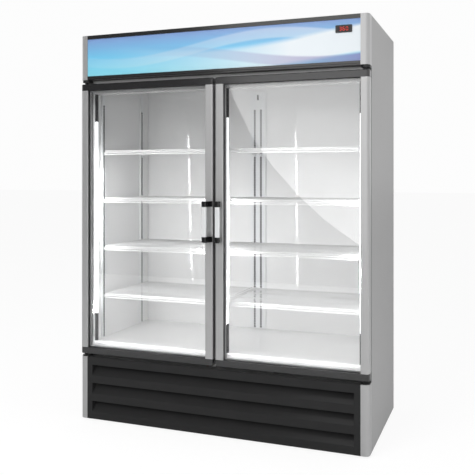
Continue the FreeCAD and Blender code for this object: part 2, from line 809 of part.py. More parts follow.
# Doors: stiles and rails round double glass, seal, handle and hinge bushes. Each hangs on two pins.
glass_face = front + size.glass_setback
glass_back = glass_face + size.glass_unit
hinge_y = front + size.hinge_front_inset
gasket_back = door_back + size.gasket_thickness
rail_inside_bottom = door_bottom + size.rail_height
rail_inside_top = door_top - size.rail_height
bush_radius = size.pin_radius + size.pin_clearance + size.bush_wall
collar_height = size.hinge_gap - size.hinge_plate - size.collar_gap
handle_level = door_bottom + size.handle_rise
handle_face = front - size.handle_reach
hinge_plates = []
for word, side in SIDES.items():
    outer = half_width * side
    free = size.door_gap / 2 * side
    hinge_x = (half_width - size.hinge_side_inset) * side
    stile_edges = (outer - size.stile_width * side, free + size.stile_width * side)
    pocket_edges = (stile_edges[0] + size.pocket_depth * side, stile_edges[1] - size.pocket_depth * side)
    stiles = []
    for kind, edge, radius, inside, pocket in (
        ("hinge", outer, size.stile_radius, stile_edges[0], pocket_edges[0]),
        ("handle", free, size.edge_radius, stile_edges[1], pocket_edges[1]),
    ):
        outline = (
            (edge, front, radius),
            (edge, door_back),
            (inside, door_back),
            (inside, glass_back),
            (pocket, glass_back),
            (pocket, glass_face),
            (inside, glass_face),
            (inside, front, size.rail_bevel),
        )
        stiles.append(pad(f"{word}_{kind}_stile", "z", outline, (rail_inside_bottom, rail_inside_top)))
    node(f"{word}_door_stiles", gather(f"{word}_door_stiles", stiles))

    pane_x = between(*pocket_edges)
    pane_z = (rail_inside_bottom - size.pocket_depth, rail_inside_top + size.pocket_depth)
    panes = [
        block(f"{word}_outer_pane", pane_x, (glass_face, glass_face + size.pane_thickness), pane_z),
        block(f"{word}_inner_pane", pane_x, (glass_back - size.pane_thickness, glass_back), pane_z),
    ]
    node(f"{word}_door_glass", gather(f"{word}_door_glass", panes))

    rails = []
    bushes = []
    for end, ends, hole_start, bush_start in (
        ("bottom", (door_bottom, rail_inside_bottom), door_bottom, door_bottom - collar_height),
        ("top", (rail_inside_top, door_top), door_top - size.pin_reach, door_top - size.pin_reach),
    ):
        outline = (
            (outer, front, size.stile_radius),
            (outer, door_back),
            (free, door_back),
            (free, front, size.edge_radius),
        )
        rail = pad(f"{word}_{end}_rail_bar", "z", outline, ends)
        rim = size.rail_height.value if end == "top" else 0

        def is_rim(box, level=rim):
            on_rim = abs(box.ZMin - level) + abs(box.ZMax - level) < SAME_PLACE
            return on_rim and box.YMin < door_back.value - SAME_PLACE

        bevel(rail, size.rail_bevel, is_rim)
        groove = block(f"{word}_{end}_groove", pane_x, (glass_face, glass_back), pane_z)
        bush_outline = regular(hinge_x, hinge_y, bush_radius)
        hole_ends = (hole_start, hole_start + size.pin_reach)
        bush_hole = pad(f"{word}_{end}_bush_hole", "z", bush_outline, hole_ends)
        rails.append(cut(f"{word}_{end}_rail", rail, groove, bush_hole))
        bush_place = (hinge_x, hinge_y, bush_start)
        bush_length = size.pin_reach + collar_height
        sleeve = pad(f"{word}_{end}_sleeve", "z", bush_outline, (bush_start, bush_start + bush_length))
        bore = rod(f"{word}_{end}_bore", "z", size.pin_radius + size.pin_clearance, bush_place, bush_length)
        bushes.append(cut(f"{word}_{end}_bush", sleeve, bore))
    node(f"{word}_door_rails", gather(f"{word}_door_rails", rails))
    node(f"{word}_door_bushes", gather(f"{word}_door_bushes", bushes))

    seal_edges = (outer - size.gasket_hinge_inset * side, free + size.gasket_inset * side)
    seal_x = between(*seal_edges)
    seal_z = (door_bottom + size.gasket_inset, door_top - size.gasket_inset)
    rings = []
    bulb_inset = (size.gasket_base_width - size.gasket_bulb_width) / 2
    base_back = door_back + size.gasket_base
    for ring, inset, width, depth in (
        ("base", ZERO, size.gasket_base_width, (door_back, base_back)),
        ("bulb", bulb_inset, size.gasket_bulb_width, (base_back, gasket_back)),
    ):
        spans = [[(low + inset, high - inset), (low + inset + width, high - inset - width)]
                 for low, high in (seal_x, seal_z)]
        solid = block(f"{word}_seal_{ring}", spans[0][0], depth, spans[1][0])
        window_depth = (depth[0] - size.overrun, depth[1] + size.overrun)
        window = block(f"{word}_seal_{ring}_window", spans[0][1], window_depth, spans[1][1])
        rings.append(cut(f"{word}_seal_{ring}_ring", solid, window))
    node(f"{word}_door_gasket", fuse(f"{word}_door_gasket", *rings))

    base_edges = (free + size.bracket_inset * side, free + (size.bracket_inset + size.bracket_width) * side)
    arm_edges = (base_edges[0] + size.bracket_lean * side, base_edges[1] + size.bracket_lean * side)
    elbow = handle_face + size.bracket_straight
    handle_x = (arm_edges[0] + arm_edges[1]) / 2
    handle_span = about(handle_level, size.handle_height)
    brackets = []
    for end, ends in (
        ("lower", (handle_span[0], handle_span[0] + size.bracket_height)),
        ("upper", (handle_span[1] - size.bracket_height, handle_span[1])),
    ):
        outline = (
            (base_edges[0], front),
            (arm_edges[0], elbow),
            (arm_edges[0], handle_face, size.bracket_radius),
            (arm_edges[1], handle_face, size.bracket_radius),
            (arm_edges[1], elbow),
            (base_edges[1], front),
        )
        brackets.append(pad(f"{word}_{end}_bracket", "z", outline, ends))
    node(f"{word}_handle_brackets", gather(f"{word}_handle_brackets", brackets))
    bar_span = about(handle_x, size.bar_width)
    bar_front = handle_face + size.bar_radius / 2
    bar_outline = (
        (bar_span[0], bar_front, size.bar_radius),
        (bar_span[1], bar_front, size.bar_radius),
        (bar_span[1], bar_front + size.bar_depth, size.bar_radius),
        (bar_span[0], bar_front + size.bar_depth, size.bar_radius),
    )
    bar_ends = (handle_span[0] + size.bracket_height, handle_span[1] - size.bracket_height)
    node(f"{word}_handle_bar", pad(f"{word}_handle_bar", "z", bar_outline, bar_ends))

    plate_front = front + size.hinge_plate_setback
    plate_outline = (
        (outer - size.shell_sheet * side, plate_front, size.hinge_plate_bevel, STRAIGHT),
        (outer - size.shell_sheet * side, shell_front),
        (outer - size.hinge_plate_width * side, shell_front),
        (outer - size.hinge_plate_width * side, plate_front, size.hinge_plate_bevel, STRAIGHT),
    )
    head_plate = size.head_gap - size.hinge_gap + size.hinge_plate
    for end, ends, pin_ends in (
        ("bottom", (kick_top, kick_top + size.hinge_plate), (kick_top, door_bottom + size.pin_reach)),
        ("top", (header_bottom - head_plate, header_bottom), (door_top - size.pin_reach, header_bottom)),
    ):
        plate = pad(f"{word}_{end}_plate", "z", plate_outline, ends)
        pin_place = (hinge_x, hinge_y, pin_ends[0])
        pin = rod(f"{word}_{end}_pin", "z", size.pin_radius, pin_place, pin_ends[1] - pin_ends[0])
        hinge_plates.append(fuse(f"{word}_{end}_hinge", plate, pin))
node("hinge_plates", gather("hinge_plates", hinge_plates))

# Lamps: upright tubes in the corners of the opening and on both sides of the mullion, with end covers
lamp_front = frame_back + size.lamp_setback
lamp_back = lamp_front + size.lamp_depth
tubes = []
covers = []
for word, side in SIDES.items():
    for kind, seat, way in (("wall", cavity_side * side, -side), ("mullion", mullion_side * side, side)):
        face = seat + size.lamp_width * way
        outline = (
            (seat, lamp_front),
            (face, lamp_front, size.lamp_bevel, STRAIGHT),
            (face, lamp_back, size.lamp_bevel, STRAIGHT),
            (seat, lamp_back),
        )
        lower = (cavity_floor, cavity_floor + size.lamp_cover_length)
        upper = (opening_top - size.lamp_cover_length, opening_top)
        covers.append(pad(f"{word}_{kind}_lower_cover", "z", outline, lower))
        covers.append(pad(f"{word}_{kind}_upper_cover", "z", outline, upper))
        centre = (seat + size.lamp_width / 2 * way, (lamp_front + lamp_back) / 2)
        tube_outline = regular(*centre, size.lamp_tube_radius, LAMP_SIDES)
        tubes.append(pad(f"{word}_{kind}_tube", "z", tube_outline, (lower[1], upper[0])))
node("lamp_end_covers", gather("lamp_end_covers", covers))
node("lamp_tubes", gather("lamp_tubes", tubes))

# Shelf standards: slotted uprights on the side walls, the rear wall and the back of the mullion
shelf_pitch = (evaporator_bottom - size.top_bay - size.lowest_shelf - cavity_floor) / (SHELVES - 1)
slot_pitch = shelf_pitch / SLOTS_PER_SHELF
standard_bottom = cavity_floor + size.standard_rise
standard_top = evaporator_bottom - size.standard_top_gap
slot_rows = int((standard_top - standard_bottom - size.slot_rise * 2).value / slot_pitch.value) + 1
rear_standard_y = cavity_rear - size.rear_standard_inset
front_standard_y = front + size.front_standard_setback


def standard(name, face, columns, spread):
    """An upright box from its seat to its face, with rows of blind slots in that face.

    face is (axis, seat, way): the axis it looks along, where it stands and the way it looks."""
    axis, seat, way = face
    outside = seat + size.standard_depth * way
    slot_floor = outside - size.slot_depth * way
    slot_mouth = outside + size.overrun * way
    tall = (standard_bottom, standard_top)

    def upright(label, side_span, depth_span, height_span):
        spans = (depth_span, side_span) if axis == "x" else (side_span, depth_span)
        return block(label, *spans, height_span)

    bar = upright(f"{name}_bar", spread, between(seat, outside), tall)
    slots = []
    for number, column in enumerate(columns):
        for row in range(slot_rows):
            low = standard_bottom + size.slot_rise + slot_pitch * row
            slots.append(upright(
                f"{name}_slot_{number}_{row}",
                about(column, size.slot_width),
                between(slot_floor, slot_mouth),
                (low, low + size.slot_height),
            ))
    return cut(name, bar, *slots)


pair = (-size.slot_column, size.slot_column)
standards = [
    standard("rear_standard", ("y", cavity_rear, -1), pair, about(ZERO, size.centre_standard_width)),
    standard("mullion_standard", ("y", mullion_back, 1), pair, across(mullion_side)),
]
for word, side in SIDES.items():
    for place, centre in (("front", front_standard_y), ("back", rear_standard_y)):
        wall = ("x", cavity_side * side, -side)
        spread = about(centre, size.standard_width)
        standards.append(standard(f"{word}_{place}_standard", wall, (centre,), spread))
node("shelf_standards", gather("shelf_standards", standards))


# Shelves: wires laid between a welded frame of bars, with a double front edge, on four clips each
def bar_shape(corner, extent):
    return Part.makeBox(*extent, FreeCAD.Vector(*corner))


shelf_width = (cavity_side - size.shelf_side_gap - size.shelf_centre_gap).value
shelf_front = front + size.shelf_setback
shelf_depth = (cavity_rear - size.shelf_rear_gap - shelf_front).value


def shelf_shape():
    """One shelf with its left front top corner at the origin."""
    bar = size.shelf_bar.value
    strip = size.shelf_strip.value
    lip = size.shelf_lip.value
    radius = size.wire_radius.value
    gap = (shelf_width - 2 * bar) / (SHELF_WIRES + 1)
    pieces = [
        bar_shape((0, 0, -bar), (shelf_width, bar, bar)),
        bar_shape((0, 0, -lip), (shelf_width, bar, bar)),
        bar_shape((0, shelf_depth - bar, -strip), (shelf_width, bar, strip)),
        bar_shape((0, 0, -lip), (bar, bar, lip)),
        bar_shape((shelf_width - bar, 0, -lip), (bar, bar, lip)),
        bar_shape((0, 0, -strip), (bar, shelf_depth, strip)),
        bar_shape((shelf_width - bar, 0, -strip), (bar, shelf_depth, strip)),
    ]
    rod_top = -2 * radius - size.wire_gap.value
    rod_size = size.cross_rod.value
    for share in CROSS_ROD_SHARES:
        rod_corner = (0, shelf_depth * share, rod_top - rod_size)
        pieces.append(bar_shape(rod_corner, (shelf_width, rod_size, rod_size)))
    for number in range(1, SHELF_WIRES + 1):
        x = bar + gap * number
        turns = [2 * math.pi * side / WIRE_SIDES for side in range(WIRE_SIDES + 1)]
        ring = [FreeCAD.Vector(x + radius * math.cos(turn), bar / 2, -radius + radius * math.sin(turn))
                for turn in turns]
        wire = Part.Face(Part.makePolygon(ring))
        pieces.append(wire.extrude(FreeCAD.Vector(0, shelf_depth - bar, 0)))
        if number % 2:
            stub_corner = (x - radius, (bar - 2 * radius) / 2, -lip)
            pieces.append(bar_shape(stub_corner, (2 * radius, 2 * radius, lip)))
    return pieces[0].multiFuse(pieces[1:]).removeSplitter()


shelf = shelf_shape()
clips = []


def clip_shape(length):
    """A hooked plate that reaches along +X from a standard's face, with its flat top at zero height."""
    plate = size.clip_plate.value
    tall = size.clip_height.value
    width = size.clip_width.value
    outline = [(0, 0), (length, 0), (length, -plate), (2 * plate, -plate), (0, -tall)]
    points = [FreeCAD.Vector(x, -width / 2, z) for x, z in outline]
    return Part.Face(Part.makePolygon(points + points[:1])).extrude(FreeCAD.Vector(0, width, 0))


def clip(length, place, turn):
    item = clip_shape(length)
    item.rotate(FreeCAD.Vector(), FreeCAD.Vector(0, 0, 1), turn)
    item.translate(FreeCAD.Vector(*(worth(part) for part in place)))
    clips.append(item)


HALF_TURN = FULL_TURN / 2
under_strip = size.shelf_strip.value
under_lip = size.shelf_lip.value
wall_reach = (size.shelf_side_gap - size.standard_depth + size.clip_overlap).value
rear_face = cavity_rear - size.standard_depth
rear_reach = (size.shelf_rear_gap - size.standard_depth + size.clip_overlap).value
mullion_face = mullion_back + size.standard_depth
mullion_reach = (shelf_front + size.clip_overlap - mullion_face).value
for word, side in SIDES.items():
    corner = size.shelf_centre_gap.value if side > 0 else -size.shelf_centre_gap.value - shelf_width
    for number in range(SHELVES):
        level = (cavity_floor + size.lowest_shelf + shelf_pitch * number).value
        item = feature(f"{word}_shelf_{number + 1}", shelf)
        item.Placement = FreeCAD.Placement(FreeCAD.Vector(corner, shelf_front.value, level), UPRIGHT)
        node(f"{word}_shelf_{number + 1}", item)
        wall_face = (cavity_side - size.standard_depth) * side
        for place_y in (front_standard_y, rear_standard_y):
            clip(wall_reach, (wall_face, place_y, level - under_strip), HALF_TURN if side > 0 else 0)
        clip(rear_reach, (size.slot_column * side, rear_face, level - under_strip), -QUARTER_TURN)
        clip(mullion_reach, (size.slot_column * side, mullion_face, level - under_lip), QUARTER_TURN)
node("shelf_clips", feature("shelf_clips", Part.makeCompound(clips)))


def ring_points(radius, sides):
    """A closed ring of points about the Z axis."""
    turns = [2 * math.pi * side / sides for side in range(sides + 1)]
    return [FreeCAD.Vector(radius * math.cos(turn), radius * math.sin(turn), 0) for turn in turns]


# Fans: flat, widening blades with a bluntly pointed tip, on a bored hub that runs on the motor's shaft
def fan_shape(radius):
    """A fan about the Z axis, with its hub from zero upwards and its blades set at a pitch."""
    hub_length = size.fan_hub_length.value
    hub = size.fan_hub_radius.value
    root = hub * BLADE_ROOT_SHARE
    middle = hub_length / 2
    thickness = size.fan_blade_thickness.value
    half_root = size.fan_root_width.value / 2
    half_tip = size.fan_tip_width.value / 2
    shoulder = math.sqrt(radius ** 2 - half_tip ** 2)
    right_edge = [(root, -half_root), (shoulder, -half_tip)]
    left_edge = [(shoulder, half_tip), (root, half_root)]
    corners = [*right_edge, (radius, 0), *left_edge]
    points = [FreeCAD.Vector(x, y, middle - thickness / 2) for x, y in corners]
    blade = Part.Face(Part.makePolygon(points + points[:1])).extrude(FreeCAD.Vector(0, 0, thickness))
    blade.rotate(FreeCAD.Vector(0, 0, middle), FreeCAD.Vector(1, 0, 0), size.fan_pitch_angle.value)
    spun = []
    for number in range(FAN_BLADES):
        copy = blade.copy()
        copy.rotate(FreeCAD.Vector(), FreeCAD.Vector(0, 0, 1), FULL_TURN / FAN_BLADES * number)
        spun.append(copy)
    bore = Part.makeCylinder((size.fan_shaft_radius + size.fan_shaft_clearance).value, hub_length)
    hub_face = Part.Face(Part.makePolygon(ring_points(hub, MOTOR_SIDES)))
    return hub_face.extrude(FreeCAD.Vector(0, 0, hub_length)).multiFuse(spun).cut(bore)


def fin_pack(name, across_span, deep_span, tall_span):
    """A coil block whose front and rear are cut into upright fins."""
    low, high = (place.value for place in across_span)
    near, far = (place.value for place in deep_span)
    bottom, top = (place.value for place in tall_span)
    pitch = size.fin_pitch.value
    slot = pitch - size.fin_thickness.value
    depth = size.fin_depth.value
    count = int((high - low - size.fin_thickness.value) / pitch)
    start = low + (high - low - count * pitch + slot) / 2
    grooves = []
    for number in range(count):
        for edge in (near - depth, far - depth):
            corner = FreeCAD.Vector(start + pitch * number, edge, bottom)
            grooves.append(Part.makeBox(slot, 2 * depth, top - bottom, corner))
    core = Part.makeBox(high - low, far - near, top - bottom, FreeCAD.Vector(low, near, bottom))
    return feature(name, core.cut(Part.makeCompound(grooves)))


# Condensing unit on the base pan: finned coil behind the grille, shroud, fan on its strapped motor
coil_left = -half_width + size.condenser_side_inset
coil_x = (coil_left, coil_left + size.condenser_width)
coil_y = (frame_back + size.condenser_setback, frame_back + size.condenser_setback + size.condenser_depth)
coil_z = (pan_top, pan_top + size.condenser_height)
node("condenser_coil", fin_pack("condenser_coil", coil_x, coil_y, coil_z))
fan_x = (coil_x[0] + coil_x[1]) / 2
fan_z = (coil_z[0] + coil_z[1]) / 2
shroud_back = coil_y[1] + size.shroud_depth
shroud_box = block("shroud_box", coil_x, (coil_y[1], shroud_back), coil_z)
shroud_room = block(
    "shroud_room",
    (coil_x[0] + size.shroud_wall, coil_x[1] - size.shroud_wall),
    (coil_y[1] - size.overrun, shroud_back - size.shroud_wall),
    (coil_z[0] + size.shroud_wall, coil_z[1] - size.shroud_wall),
)
throat_radius = size.condenser_fan_radius + size.condenser_fan_clearance
throat_outline = regular(fan_x, fan_z, throat_radius, THROAT_SIDES)
throat = pad("shroud_throat", "y", throat_outline, (coil_y[1], shroud_back + size.overrun))
node("condenser_shroud", cut("condenser_shroud", cut("shroud_shell", shroud_box, shroud_room), throat))
hub_start = coil_y[1] + size.fan_end_gap
strap_front = hub_start + size.fan_hub_length + size.fan_end_gap + size.fan_end_gap
strap_back = strap_front + size.motor_strap
strap_end = throat_radius + size.strap_foot
strap_height = about(fan_z, size.motor_strap_height)
motor_outline = regular(fan_x, fan_z, size.motor_radius, MOTOR_SIDES)
motor_parts = [
    block("motor_strap", about(fan_x, strap_end * 2), (strap_front, strap_back), strap_height),
    pad("motor_can", "y", motor_outline, (strap_back, strap_back + size.motor_length)),
    rod("motor_shaft", "y", size.fan_shaft_radius, (fan_x, hub_start, fan_z), strap_back - hub_start),
]
for word, side in SIDES.items():
    foot = between(fan_x + throat_radius * side, fan_x + strap_end * side)
    motor_parts.append(block(f"{word}_strap_foot", foot, (shroud_back, strap_front), strap_height))
node("condenser_fan_motor", fuse("condenser_fan_motor", *motor_parts))
condenser_fan = feature("condenser_fan", fan_shape(size.condenser_fan_radius.value))
put(condenser_fan, (fan_x, hub_start, fan_z), ALONG["y"])
node("condenser_fan", condenser_fan)

compressor_x = half_width - size.compressor_side_inset
compressor_y = rear - size.compressor_rear_inset
can_ends = (pan_top + size.compressor_foot, pan_top + size.compressor_height)
can_top = (can_ends[1] - can_ends[0]).value
can_outline = regular(compressor_x, compressor_y, size.compressor_radius, CAN_SIDES)
can = pad("compressor_can", "z", can_outline, can_ends)
bevel(can, size.compressor_dome, lambda box: abs(box.ZMin - can_top) + abs(box.ZMax - can_top) < SAME_PLACE)
foot_reach = size.compressor_radius + size.compressor_foot / 2
compressor_parts = [can]
for side in SIDES.values():
    rail_x = between(
        compressor_x + (foot_reach - size.compressor_foot * 2) * side, compressor_x + foot_reach * side
    )
    compressor_parts.append(block(
        f"compressor_rail_{side + 1}",
        rail_x,
        about(compressor_y, foot_reach * 2),
        (pan_top, pan_top + size.compressor_foot * 2),
    ))
node("compressor", fuse("compressor", *compressor_parts))


def tube_shape(points, radius, bend):
    """A tube along straight runs joined by tangent arcs, from an upright start."""
    edges = []
    at = points[0]
    for before, corner, after in zip(points, points[1:], points[2:]):
        arriving = (corner - before).normalize()
        leaving = (after - corner).normalize()
        entry = corner - arriving * bend
        leave = corner + leaving * bend
        middle = corner + (leaving - arriving) * bend * (1 - DIAGONAL_SHARE)
        edges.append(Part.makeLine(at, entry))
        edges.append(Part.Arc(entry, middle, leave).toShape())
        at = leave
    edges.append(Part.makeLine(at, points[-1]))
    path = Part.Wire(edges)
    ring = [points[0] + point for point in ring_points(radius, TUBE_SIDES)]
    return path.makePipeShell([Part.makePolygon(ring)], True, False)


line_top = pan_top + size.compressor_height + size.line_rise
coil_middle = (coil_y[0] + coil_y[1]) / 2
line_points = [
    (compressor_x, compressor_y, pan_top + size.compressor_height),
    (compressor_x, compressor_y, line_top),
    (coil_x[1] + size.line_bend * 2, compressor_y, line_top),
    (coil_x[1] + size.line_bend * 2, coil_middle, line_top),
    (coil_x[1] + size.line_bend * 2, coil_middle, coil_z[1] - size.line_bend * 2),
    (coil_x[1], coil_middle, coil_z[1] - size.line_bend * 2),
]
line_points = [FreeCAD.Vector(*(place.value for place in point)) for point in line_points]
node("refrigerant_line", feature(
    "refrigerant_line", tube_shape(line_points, size.line_radius.value, size.line_bend.value)
))

tray_x = (half_width - size.tray_side_inset - size.tray_width, half_width - size.tray_side_inset)
tray_y = (rear - size.tray_rear_inset - size.tray_depth, rear - size.tray_rear_inset)
tray_body = block("tray_body", tray_x, tray_y, (pan_top, pan_top + size.tray_height))
tray_room = block(
    "tray_room",
    (tray_x[0] + size.tray_wall, tray_x[1] - size.tray_wall),
    (tray_y[0] + size.tray_wall, tray_y[1] - size.tray_wall),
    (pan_top + size.tray_wall, pan_top + size.tray_height + size.overrun),
)
node("condensate_pan", cut("condensate_pan", tray_body, tray_room))
control_right = half_width - size.control_side_inset
control_x = (control_right - size.control_width, control_right)
control_y = (frame_back + size.control_setback, frame_back + size.control_setback + size.control_depth)
control_outline = (
    (control_x[0], control_y[0], size.control_bevel, STRAIGHT),
    (control_x[1], control_y[0], size.control_bevel, STRAIGHT),
    (control_x[1], control_y[1], size.control_bevel, STRAIGHT),
    (control_x[0], control_y[1], size.control_bevel, STRAIGHT),
)
control_ends = (pan_top, pan_top + size.control_height)
node("control_box", pad("control_box", "z", control_outline, control_ends))

# Evaporator: housing hung under the ceiling, finned coil inside it, two fans over round openings
evaporator_y = (
    cavity_rear - size.evaporator_rear_gap - size.evaporator_depth, cavity_rear - size.evaporator_rear_gap
)
evaporator_floor = evaporator_bottom + size.shell_sheet
evaporator_side = size.evaporator_width / 2
housing_height = (evaporator_bottom, cavity_ceiling)
housing_box = block("housing_box", across(evaporator_side), evaporator_y, housing_height)
housing_room = block(
    "housing_room",
    across(evaporator_side - size.shell_sheet),
    (evaporator_y[0] + size.shell_sheet, evaporator_y[1] - size.shell_sheet),
    (evaporator_floor, cavity_ceiling + size.overrun),
)
evaporator_fan_y = evaporator_y[0] + size.evaporator_fan_setback
motors = []
fan_holes = []
for word, side in SIDES.items():
    fan_centre = size.evaporator_fan_offset * side
    hole_radius = size.evaporator_fan_radius + size.evaporator_fan_clearance
    hole_outline = regular(fan_centre, evaporator_fan_y, hole_radius, THROAT_SIDES)
    hole_ends = about(evaporator_bottom, size.overrun * 2)
    fan_holes.append(pad(f"{word}_fan_hole", "z", hole_outline, hole_ends))
    hub_bottom = evaporator_floor + size.fan_end_gap
    motor_bottom = cavity_ceiling - size.evaporator_motor_length
    motor_outline = regular(fan_centre, evaporator_fan_y, size.evaporator_motor_radius, MOTOR_SIDES)
    motors.append(fuse(
        f"{word}_evaporator_motor",
        pad(f"{word}_motor_can", "z", motor_outline, (motor_bottom, cavity_ceiling)),
        rod(
            f"{word}_motor_shaft",
            "z",
            size.fan_shaft_radius,
            (fan_centre, evaporator_fan_y, hub_bottom),
            motor_bottom + size.overrun - hub_bottom,
        ),
    ))
    fan = feature(f"{word}_evaporator_fan", fan_shape(size.evaporator_fan_radius.value))
    put(fan, (fan_centre, evaporator_fan_y, hub_bottom))
    node(f"{word}_evaporator_fan", fan)
housing_tray = cut("housing_tray", housing_box, housing_room)
node("evaporator_housing", cut("evaporator_housing", housing_tray, *fan_holes))
node("evaporator_fan_motors", gather("evaporator_fan_motors", motors))
coil_back = evaporator_y[1] - size.shell_sheet
node("evaporator_coil", fin_pack(
    "evaporator_coil",
    across(evaporator_side - size.evaporator_coil_inset),
    (coil_back - size.evaporator_coil_depth, coil_back),
    (evaporator_floor, evaporator_floor + size.evaporator_coil_height),
))

# Check every object, then write one file for each sub-part
document.recompute()
failed = [item.Name for item in document.Objects if {"Invalid", "Error"} & set(item.State)]
failed += [item.Label for item in nodes if item.Shape.isNull() or not item.Shape.isValid()]
if failed:
    raise SystemExit(f"failed: {failed}")
os.makedirs("parts", exist_ok=True)
for item in nodes:
    item.Shape.exportStep(f"parts/{item.Label}.step")
    print(item.Label, len(item.Shape.Solids), "solids", round(item.Shape.Volume), "cubic mm")
print(len(nodes), "sub-parts")
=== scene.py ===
import math

import bmesh
import bpy
from mathutils import Matrix, Vector


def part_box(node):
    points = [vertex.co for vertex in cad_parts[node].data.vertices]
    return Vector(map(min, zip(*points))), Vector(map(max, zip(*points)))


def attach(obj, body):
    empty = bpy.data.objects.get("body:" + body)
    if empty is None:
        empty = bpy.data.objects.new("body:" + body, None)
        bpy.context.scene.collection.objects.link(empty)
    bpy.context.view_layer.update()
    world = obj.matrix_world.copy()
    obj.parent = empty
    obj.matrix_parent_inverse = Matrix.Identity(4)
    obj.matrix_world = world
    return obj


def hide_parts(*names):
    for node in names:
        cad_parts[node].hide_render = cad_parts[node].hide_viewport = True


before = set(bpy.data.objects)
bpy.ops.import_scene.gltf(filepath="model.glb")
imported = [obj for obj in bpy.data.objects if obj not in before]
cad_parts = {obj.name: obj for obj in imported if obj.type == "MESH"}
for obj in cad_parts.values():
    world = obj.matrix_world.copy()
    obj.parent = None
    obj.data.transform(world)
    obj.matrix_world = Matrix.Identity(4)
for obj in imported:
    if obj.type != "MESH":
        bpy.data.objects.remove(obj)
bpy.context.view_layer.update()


# Outer shell: folded side panels and top sheet of steel, with a satin grey powder coat.
# The coat has a fine orange peel and faint cloudy differences in gloss.
class Tap:
    """One output among a material's nodes. Sums on it add Math nodes, and node() adds any other node."""

    def __init__(self, tree, socket=None):
        self.tree = tree
        self.socket = socket

    def node(self, kind, settings, values, output=0):
        made = self.tree.nodes.new(kind)
        for name, setting in settings.items():
            if name == "stops":
                stops = made.color_ramp.elements
                stops.remove(stops[1])
                stops[0].position = setting[0][0]
                stops[0].color = (*setting[0][1], 1)
                for place, colour in setting[1:]:
                    stops.new(place).color = (*colour, 1)
            else:
                setattr(made, name, setting)
        for name, value in values.items():
            if isinstance(value, Tap):
                self.tree.links.new(value.socket, made.inputs[name])
            else:
                made.inputs[name].default_value = value
        return Tap(self.tree, made.outputs[output])

    def maths(self, operation, first, second=0.0):
        return self.node("ShaderNodeMath", {"operation": operation}, {0: first, 1: second})

    def __add__(self, other):
        return self.maths("ADD", self, other)

    def __sub__(self, other):
        return self.maths("SUBTRACT", self, other)

    def __mul__(self, other):
        return self.maths("MULTIPLY", self, other)

    def __truediv__(self, other):
        return self.maths("DIVIDE", self, other)

    __radd__ = __add__
    __rmul__ = __mul__

    def to(self, shader, socket):
        self.tree.links.new(self.socket, shader.inputs[socket])


def finish(name, constants):
    """A material with its shader's fixed values set, its shader and a start for more nodes."""
    material = bpy.data.materials.new(name)
    material.use_nodes = True
    shader = material.node_tree.nodes["Principled BSDF"]
    for socket, value in constants.items():
        shader.inputs[socket].default_value = value
    return material, shader, Tap(material.node_tree)


def grain(tap, scale, detail=2.0, stretch=(1, 1, 1)):
    """Noise on the object's own coordinates, drawn out along the axes with a small stretch."""
    place = tap.node("ShaderNodeTexCoord", {}, {}, "Object")
    drawn = tap.node("ShaderNodeMapping", {}, {"Vector": place, "Scale": stretch})
    return tap.node("ShaderNodeTexNoise", {}, {"Vector": drawn, "Scale": scale, "Detail": detail})


def shades(tap, value, dark, pale):
    """A colour between two, by a value from 0 to 1."""
    return tap.node("ShaderNodeMix", {"data_type": "RGBA"}, {0: value, 6: (*dark, 1), 7: (*pale, 1)}, 2)


def relief(tap, shader, height, depth):
    """Small bumps whose height is given in metres."""
    bump = tap.node("ShaderNodeBump", {}, {"Strength": 1.0, "Distance": depth, "Height": height})
    bump.to(shader, "Normal")


def dress(material, *names):
    for name in names:
        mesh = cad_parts[name].data
        mesh.materials.clear()
        mesh.materials.append(material)


def powder_coat(name, dark, pale, roughness):
    material, shader, tap = finish(name, {"Specular IOR Level": 0.4})
    clouds = grain(tap, 2.5, 4.0)
    shades(tap, clouds, dark, pale).to(shader, "Base Color")
    (roughness + 0.12 * clouds).to(shader, "Roughness")
    relief(tap, shader, grain(tap, 420.0, 1.0), 0.00008)
    return material


grey_coat = powder_coat("grey_coat", (0.335, 0.335, 0.337), (0.365, 0.365, 0.366), 0.36)
dress(grey_coat, "left_side_panel", "right_side_panel", "top_panel")

# Rear sheet, machine cover, base pan and inner sheet parts: galvanised steel.
# The zinc has grown in flat crystals, each a little lighter or duller than the next.
zinc, zinc_shader, tap = finish("zinc_sheet", {"Metallic": 0.9})
place = tap.node("ShaderNodeTexCoord", {}, {}, "Object")
spangle = tap.node("ShaderNodeTexVoronoi", {}, {"Vector": place, "Scale": 55.0}, "Color")
crystal = tap.node("ShaderNodeSeparateColor", {}, {"Color": spangle}, 0)
shades(tap, crystal, (0.44, 0.45, 0.46), (0.60, 0.61, 0.62)).to(zinc_shader, "Base Color")
(0.34 + 0.18 * crystal + 0.1 * grain(tap, 6.0)).to(zinc_shader, "Roughness")
relief(tap, zinc_shader, grain(tap, 90.0), 0.0001)
dress(
    zinc, "rear_panel", "rear_machine_cover", "base_pan", "condenser_shroud",
    "condensate_pan", "control_box",
)

# Screws of the machine cover: zinc-plated pan heads with a cross recess, one at each corner and mid-edge.
# Each head is a low dome with four arms of the recess pressed into it; the arms are coloured near-black as
# painted shade of the recess.
SCREW_RADIUS = 0.005
SCREW_HEIGHT = 0.003
HEXAGON_SHARE = math.sqrt(0.75)
HEAD_SIDES = 20
HEAD_TAPER_SHARE = 0.92
CROWN_SHARE = 0.45
RECESS_WIDTH = 0.0012
RECESS_LENGTH = 0.0056
RECESS_DEPTH = 0.0014
RECESS_PROUD = 0.00005


def fit(name, shape, body, *materials):
    """Makes a finished bmesh a piece of its own that rides on a body."""
    mesh = bpy.data.meshes.new(name)
    shape.to_mesh(mesh)
    shape.free()
    for material in materials:
        mesh.materials.append(material)
    made = bpy.data.objects.new(name, mesh)
    bpy.context.scene.collection.objects.link(made)
    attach(made, body)
    return made


